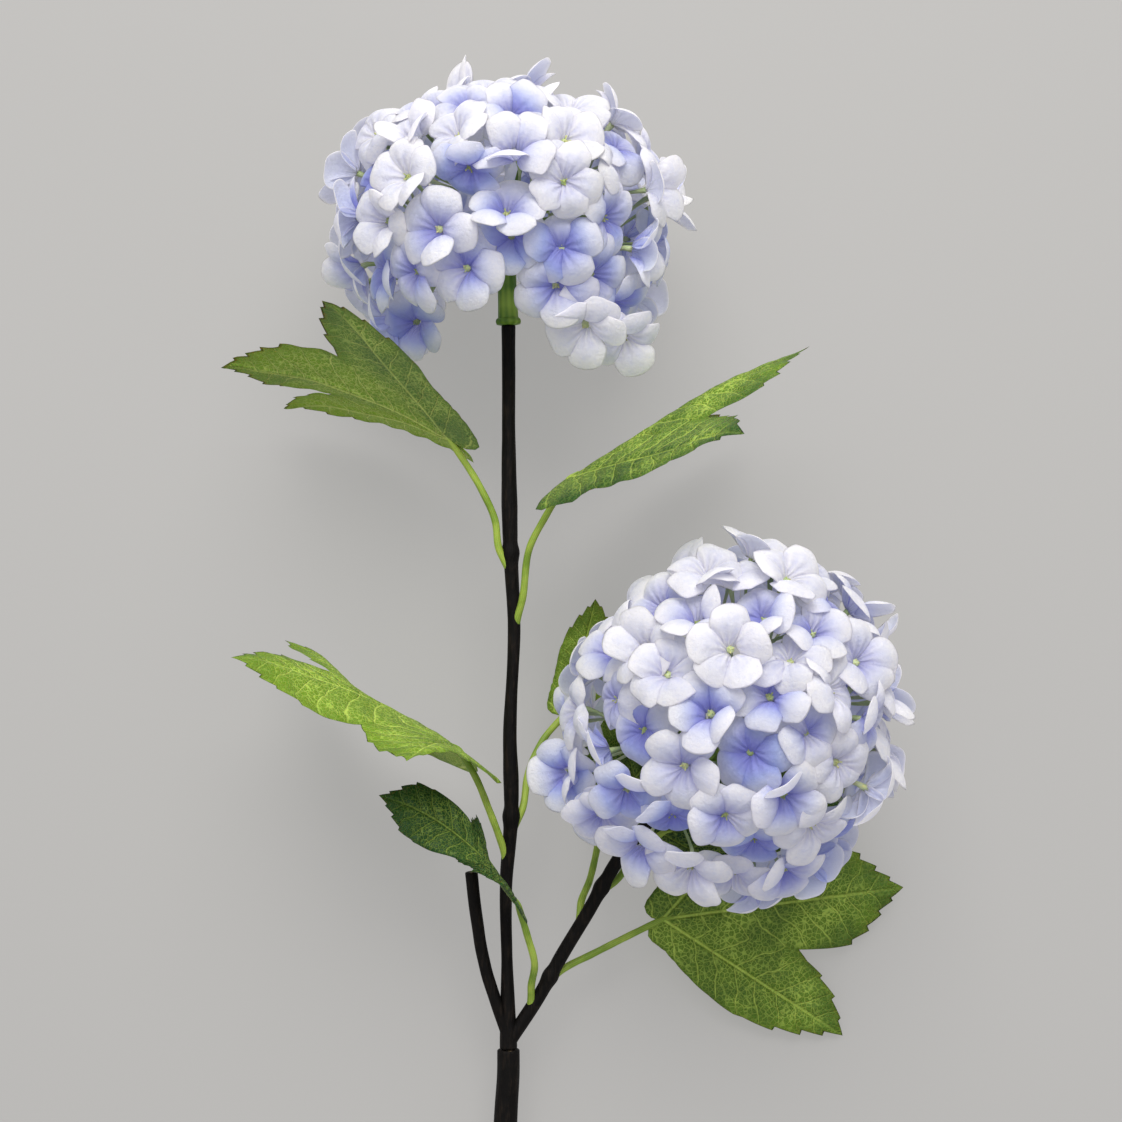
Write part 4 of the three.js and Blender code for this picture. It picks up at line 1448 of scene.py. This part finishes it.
    def build(self, nodes: Packed, pose: Pose, looks: HeadLooks) -> None:
        """Makes and dresses all of the head's pieces."""
        draw = np.random.default_rng(self.seed)
        florets = self.find_florets(nodes, pose, draw)
        stalk, stalklets = self.green_parts(florets)
        made = put(f"{self.name}_flower_stalk", stalk, pose, looks.stalk)
        dress(made, Slot.FLOWER_STALK, f"{self.name}_head_stalk")
        dress(put(f"{self.name}_stalklets", stalklets, pose, looks.stalklet), Slot.FLOWER_STALK)
        hearts = self.hearts.patch(florets, draw)
        dress(put(f"{self.name}_hearts", hearts, pose, looks.heart), Slot.FLOWER_STALK)
        patches = self.petals.patches(florets, draw)
        for number in range(1, self.clusters + 1):
            own = np.flatnonzero(florets.cluster == number - 1)
            cluster = pose.rested(Patch.joined([patches[index] for index in own]))
            piece = put(f"{self.name}_petals_{number:02d}", cluster, pose, looks.petal)
            rounding = piece.modifiers.new("rounding", "SUBSURF")
            rounding.levels = rounding.render_levels = 1
            dress(piece, Slot.PETAL, self.node(number))


@dataclass(frozen=True)
class HeadLooks:
    """The materials that a flower head needs."""

    petal: bpy.types.Material
    stalk: bpy.types.Material
    stalklet: bpy.types.Material
    heart: bpy.types.Material

    @classmethod
    def make(cls) -> HeadLooks:
        """Builds them."""
        return cls(
            PetalFinish().make(),
            StalkFinish("flower_stalk", paint(88, 128, 34), paint(168, 198, 78)).make(),
            StalkFinish("stalklet", paint(150, 172, 110), paint(206, 216, 166)).make(),
            StalkFinish("heart", paint(158, 174, 84), paint(222, 224, 156)).make(),
        )


HEADS = (
    Head(
        "upper", centre=(-0.7, 299, 0), axis=(0, 1, 0), stalk_start=(0.2, 259.4, 0), seed=1, blue_mean=0.62,
        strays=(
            ((-13.2, 272.5, 51), (-0.25, -0.2, 0.95)),
            ((2.5, 283.5, 52), (0.05, -0.1, 1.0)),
            ((17.5, 267, 45), (0.1, -0.5, 0.85)),
            ((27.3, 254, 36), (-0.1, -0.6, 0.8)),
            ((42, 251, 24), (0.35, -0.7, 0.7)),
            ((-33, 258, 12), (-0.3, -0.5, 0.8)),
        ),
    ),
    Head(
        "lower", centre=(76, 116, 29), axis=(0.36, 0.68, 0.64), stalk_start=(55.4, 86.5, 12.3), seed=2,
        blue_mean=0.66,
        strays=(
            ((21, 101, 34), (-0.5, -0.2, 0.85)),
            ((34, 89, 40), (-0.25, -0.35, 0.9)),
            ((68, 171, 62), (-0.1, 0.75, 0.65)),
        ),
    ),
)


# ---- studio


@dataclass
class Studio:
    """The floor, soft lights and the camera, which looks down square to the spray."""

    aim: Point = (19.1, 174.2, 0)
    distance: float = 785
    lens: float = 70
    sensor: float = 36
    floor_size: float = 24.0
    floor_points: int = 5
    finish: FloorFinish = field(default_factory=FloorFinish)

    def build(self, pose: Pose) -> None:
        """Builds the studio round the spray."""
        self.floor()
        self.camera(pose)
        self.lamp("key", pose, (60, 1000, 800), 900, 14.5, (1.0, 0.985, 0.965))
        self.lamp("fill", pose, (-150, 600, 1300), 1500, 4.0, (1.0, 0.99, 0.985))
        world = bpy.data.worlds.new("studio")
        world.use_nodes = True
        back = world.node_tree.nodes["Background"]
        back.inputs["Color"].default_value = (0.98, 0.98, 1.0, 1.0)
        back.inputs["Strength"].default_value = 0.5
        bpy.context.scene.world = world
        bpy.context.scene.view_settings.view_transform = "Standard"

    def floor(self) -> None:
        """A wide flat sheet with a grid of points, at the height that the spray lies on."""
        x, y = square(self.floor_points)
        quads = grid_quads(np.arange(len(x)).reshape(self.floor_points, self.floor_points))
        mesh = bpy.data.meshes.new("floor")
        mesh.from_pydata((np.stack([x, y, x * 0], -1) * self.floor_size / 2).tolist(), [], quads.tolist())
        mesh.materials.append(self.finish.make())
        made = show("floor", mesh)

    def turned(self, pose: Pose, at: Array, turn: Array) -> Matrix:
        """A place of the spray's frame and a turn, as the matrix of a camera or lamp."""
        matrix = np.eye(4)
        matrix[:3, :3] = pose.turn @ turn
        matrix[:3, 3] = pose.place(at)
        return Matrix(matrix.tolist())

    def camera(self, pose: Pose) -> None:
        """Puts the camera square above the aim, with the stem upright in its view."""
        data = bpy.data.cameras.new("camera")
        data.lens, data.sensor_width = self.lens, self.sensor
        made = show("camera", data)
        made.matrix_world = self.turned(pose, np.array(self.aim) + [0, 0, self.distance], np.eye(3))
        bpy.context.scene.camera = made

    def lamp(self, name: str, pose: Pose, at: Point, size: float, power: float, colour: Point) -> None:
        """A large square soft lamp at a place of the spray's frame, facing the aim."""
        data = bpy.data.lights.new(name, "AREA")
        data.size, data.energy, data.color = size * MM, power, colour
        place = np.array(at, float)
        back = unit(place - self.aim)
        side = unit(np.cross([0.0, 0.0, 1.0], back))
        turn = np.stack([side, np.cross(back, side), back], -1)
        show(name, data).matrix_world = self.turned(pose, place, turn)


def main() -> None:
    """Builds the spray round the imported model, then the studio."""
    logging.basicConfig(level=logging.INFO, format="%(message)s")
    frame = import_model()
    pose = Pose.of(frame["nodes"], STEMS)
    Stems().build(pose)
    Foliage().build(pose)
    looks = HeadLooks.make()
    for head in HEADS:
        head.build(frame["nodes"], pose, looks)
    Studio().build(pose)
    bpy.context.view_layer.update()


if __name__ == "__main__":
    main()
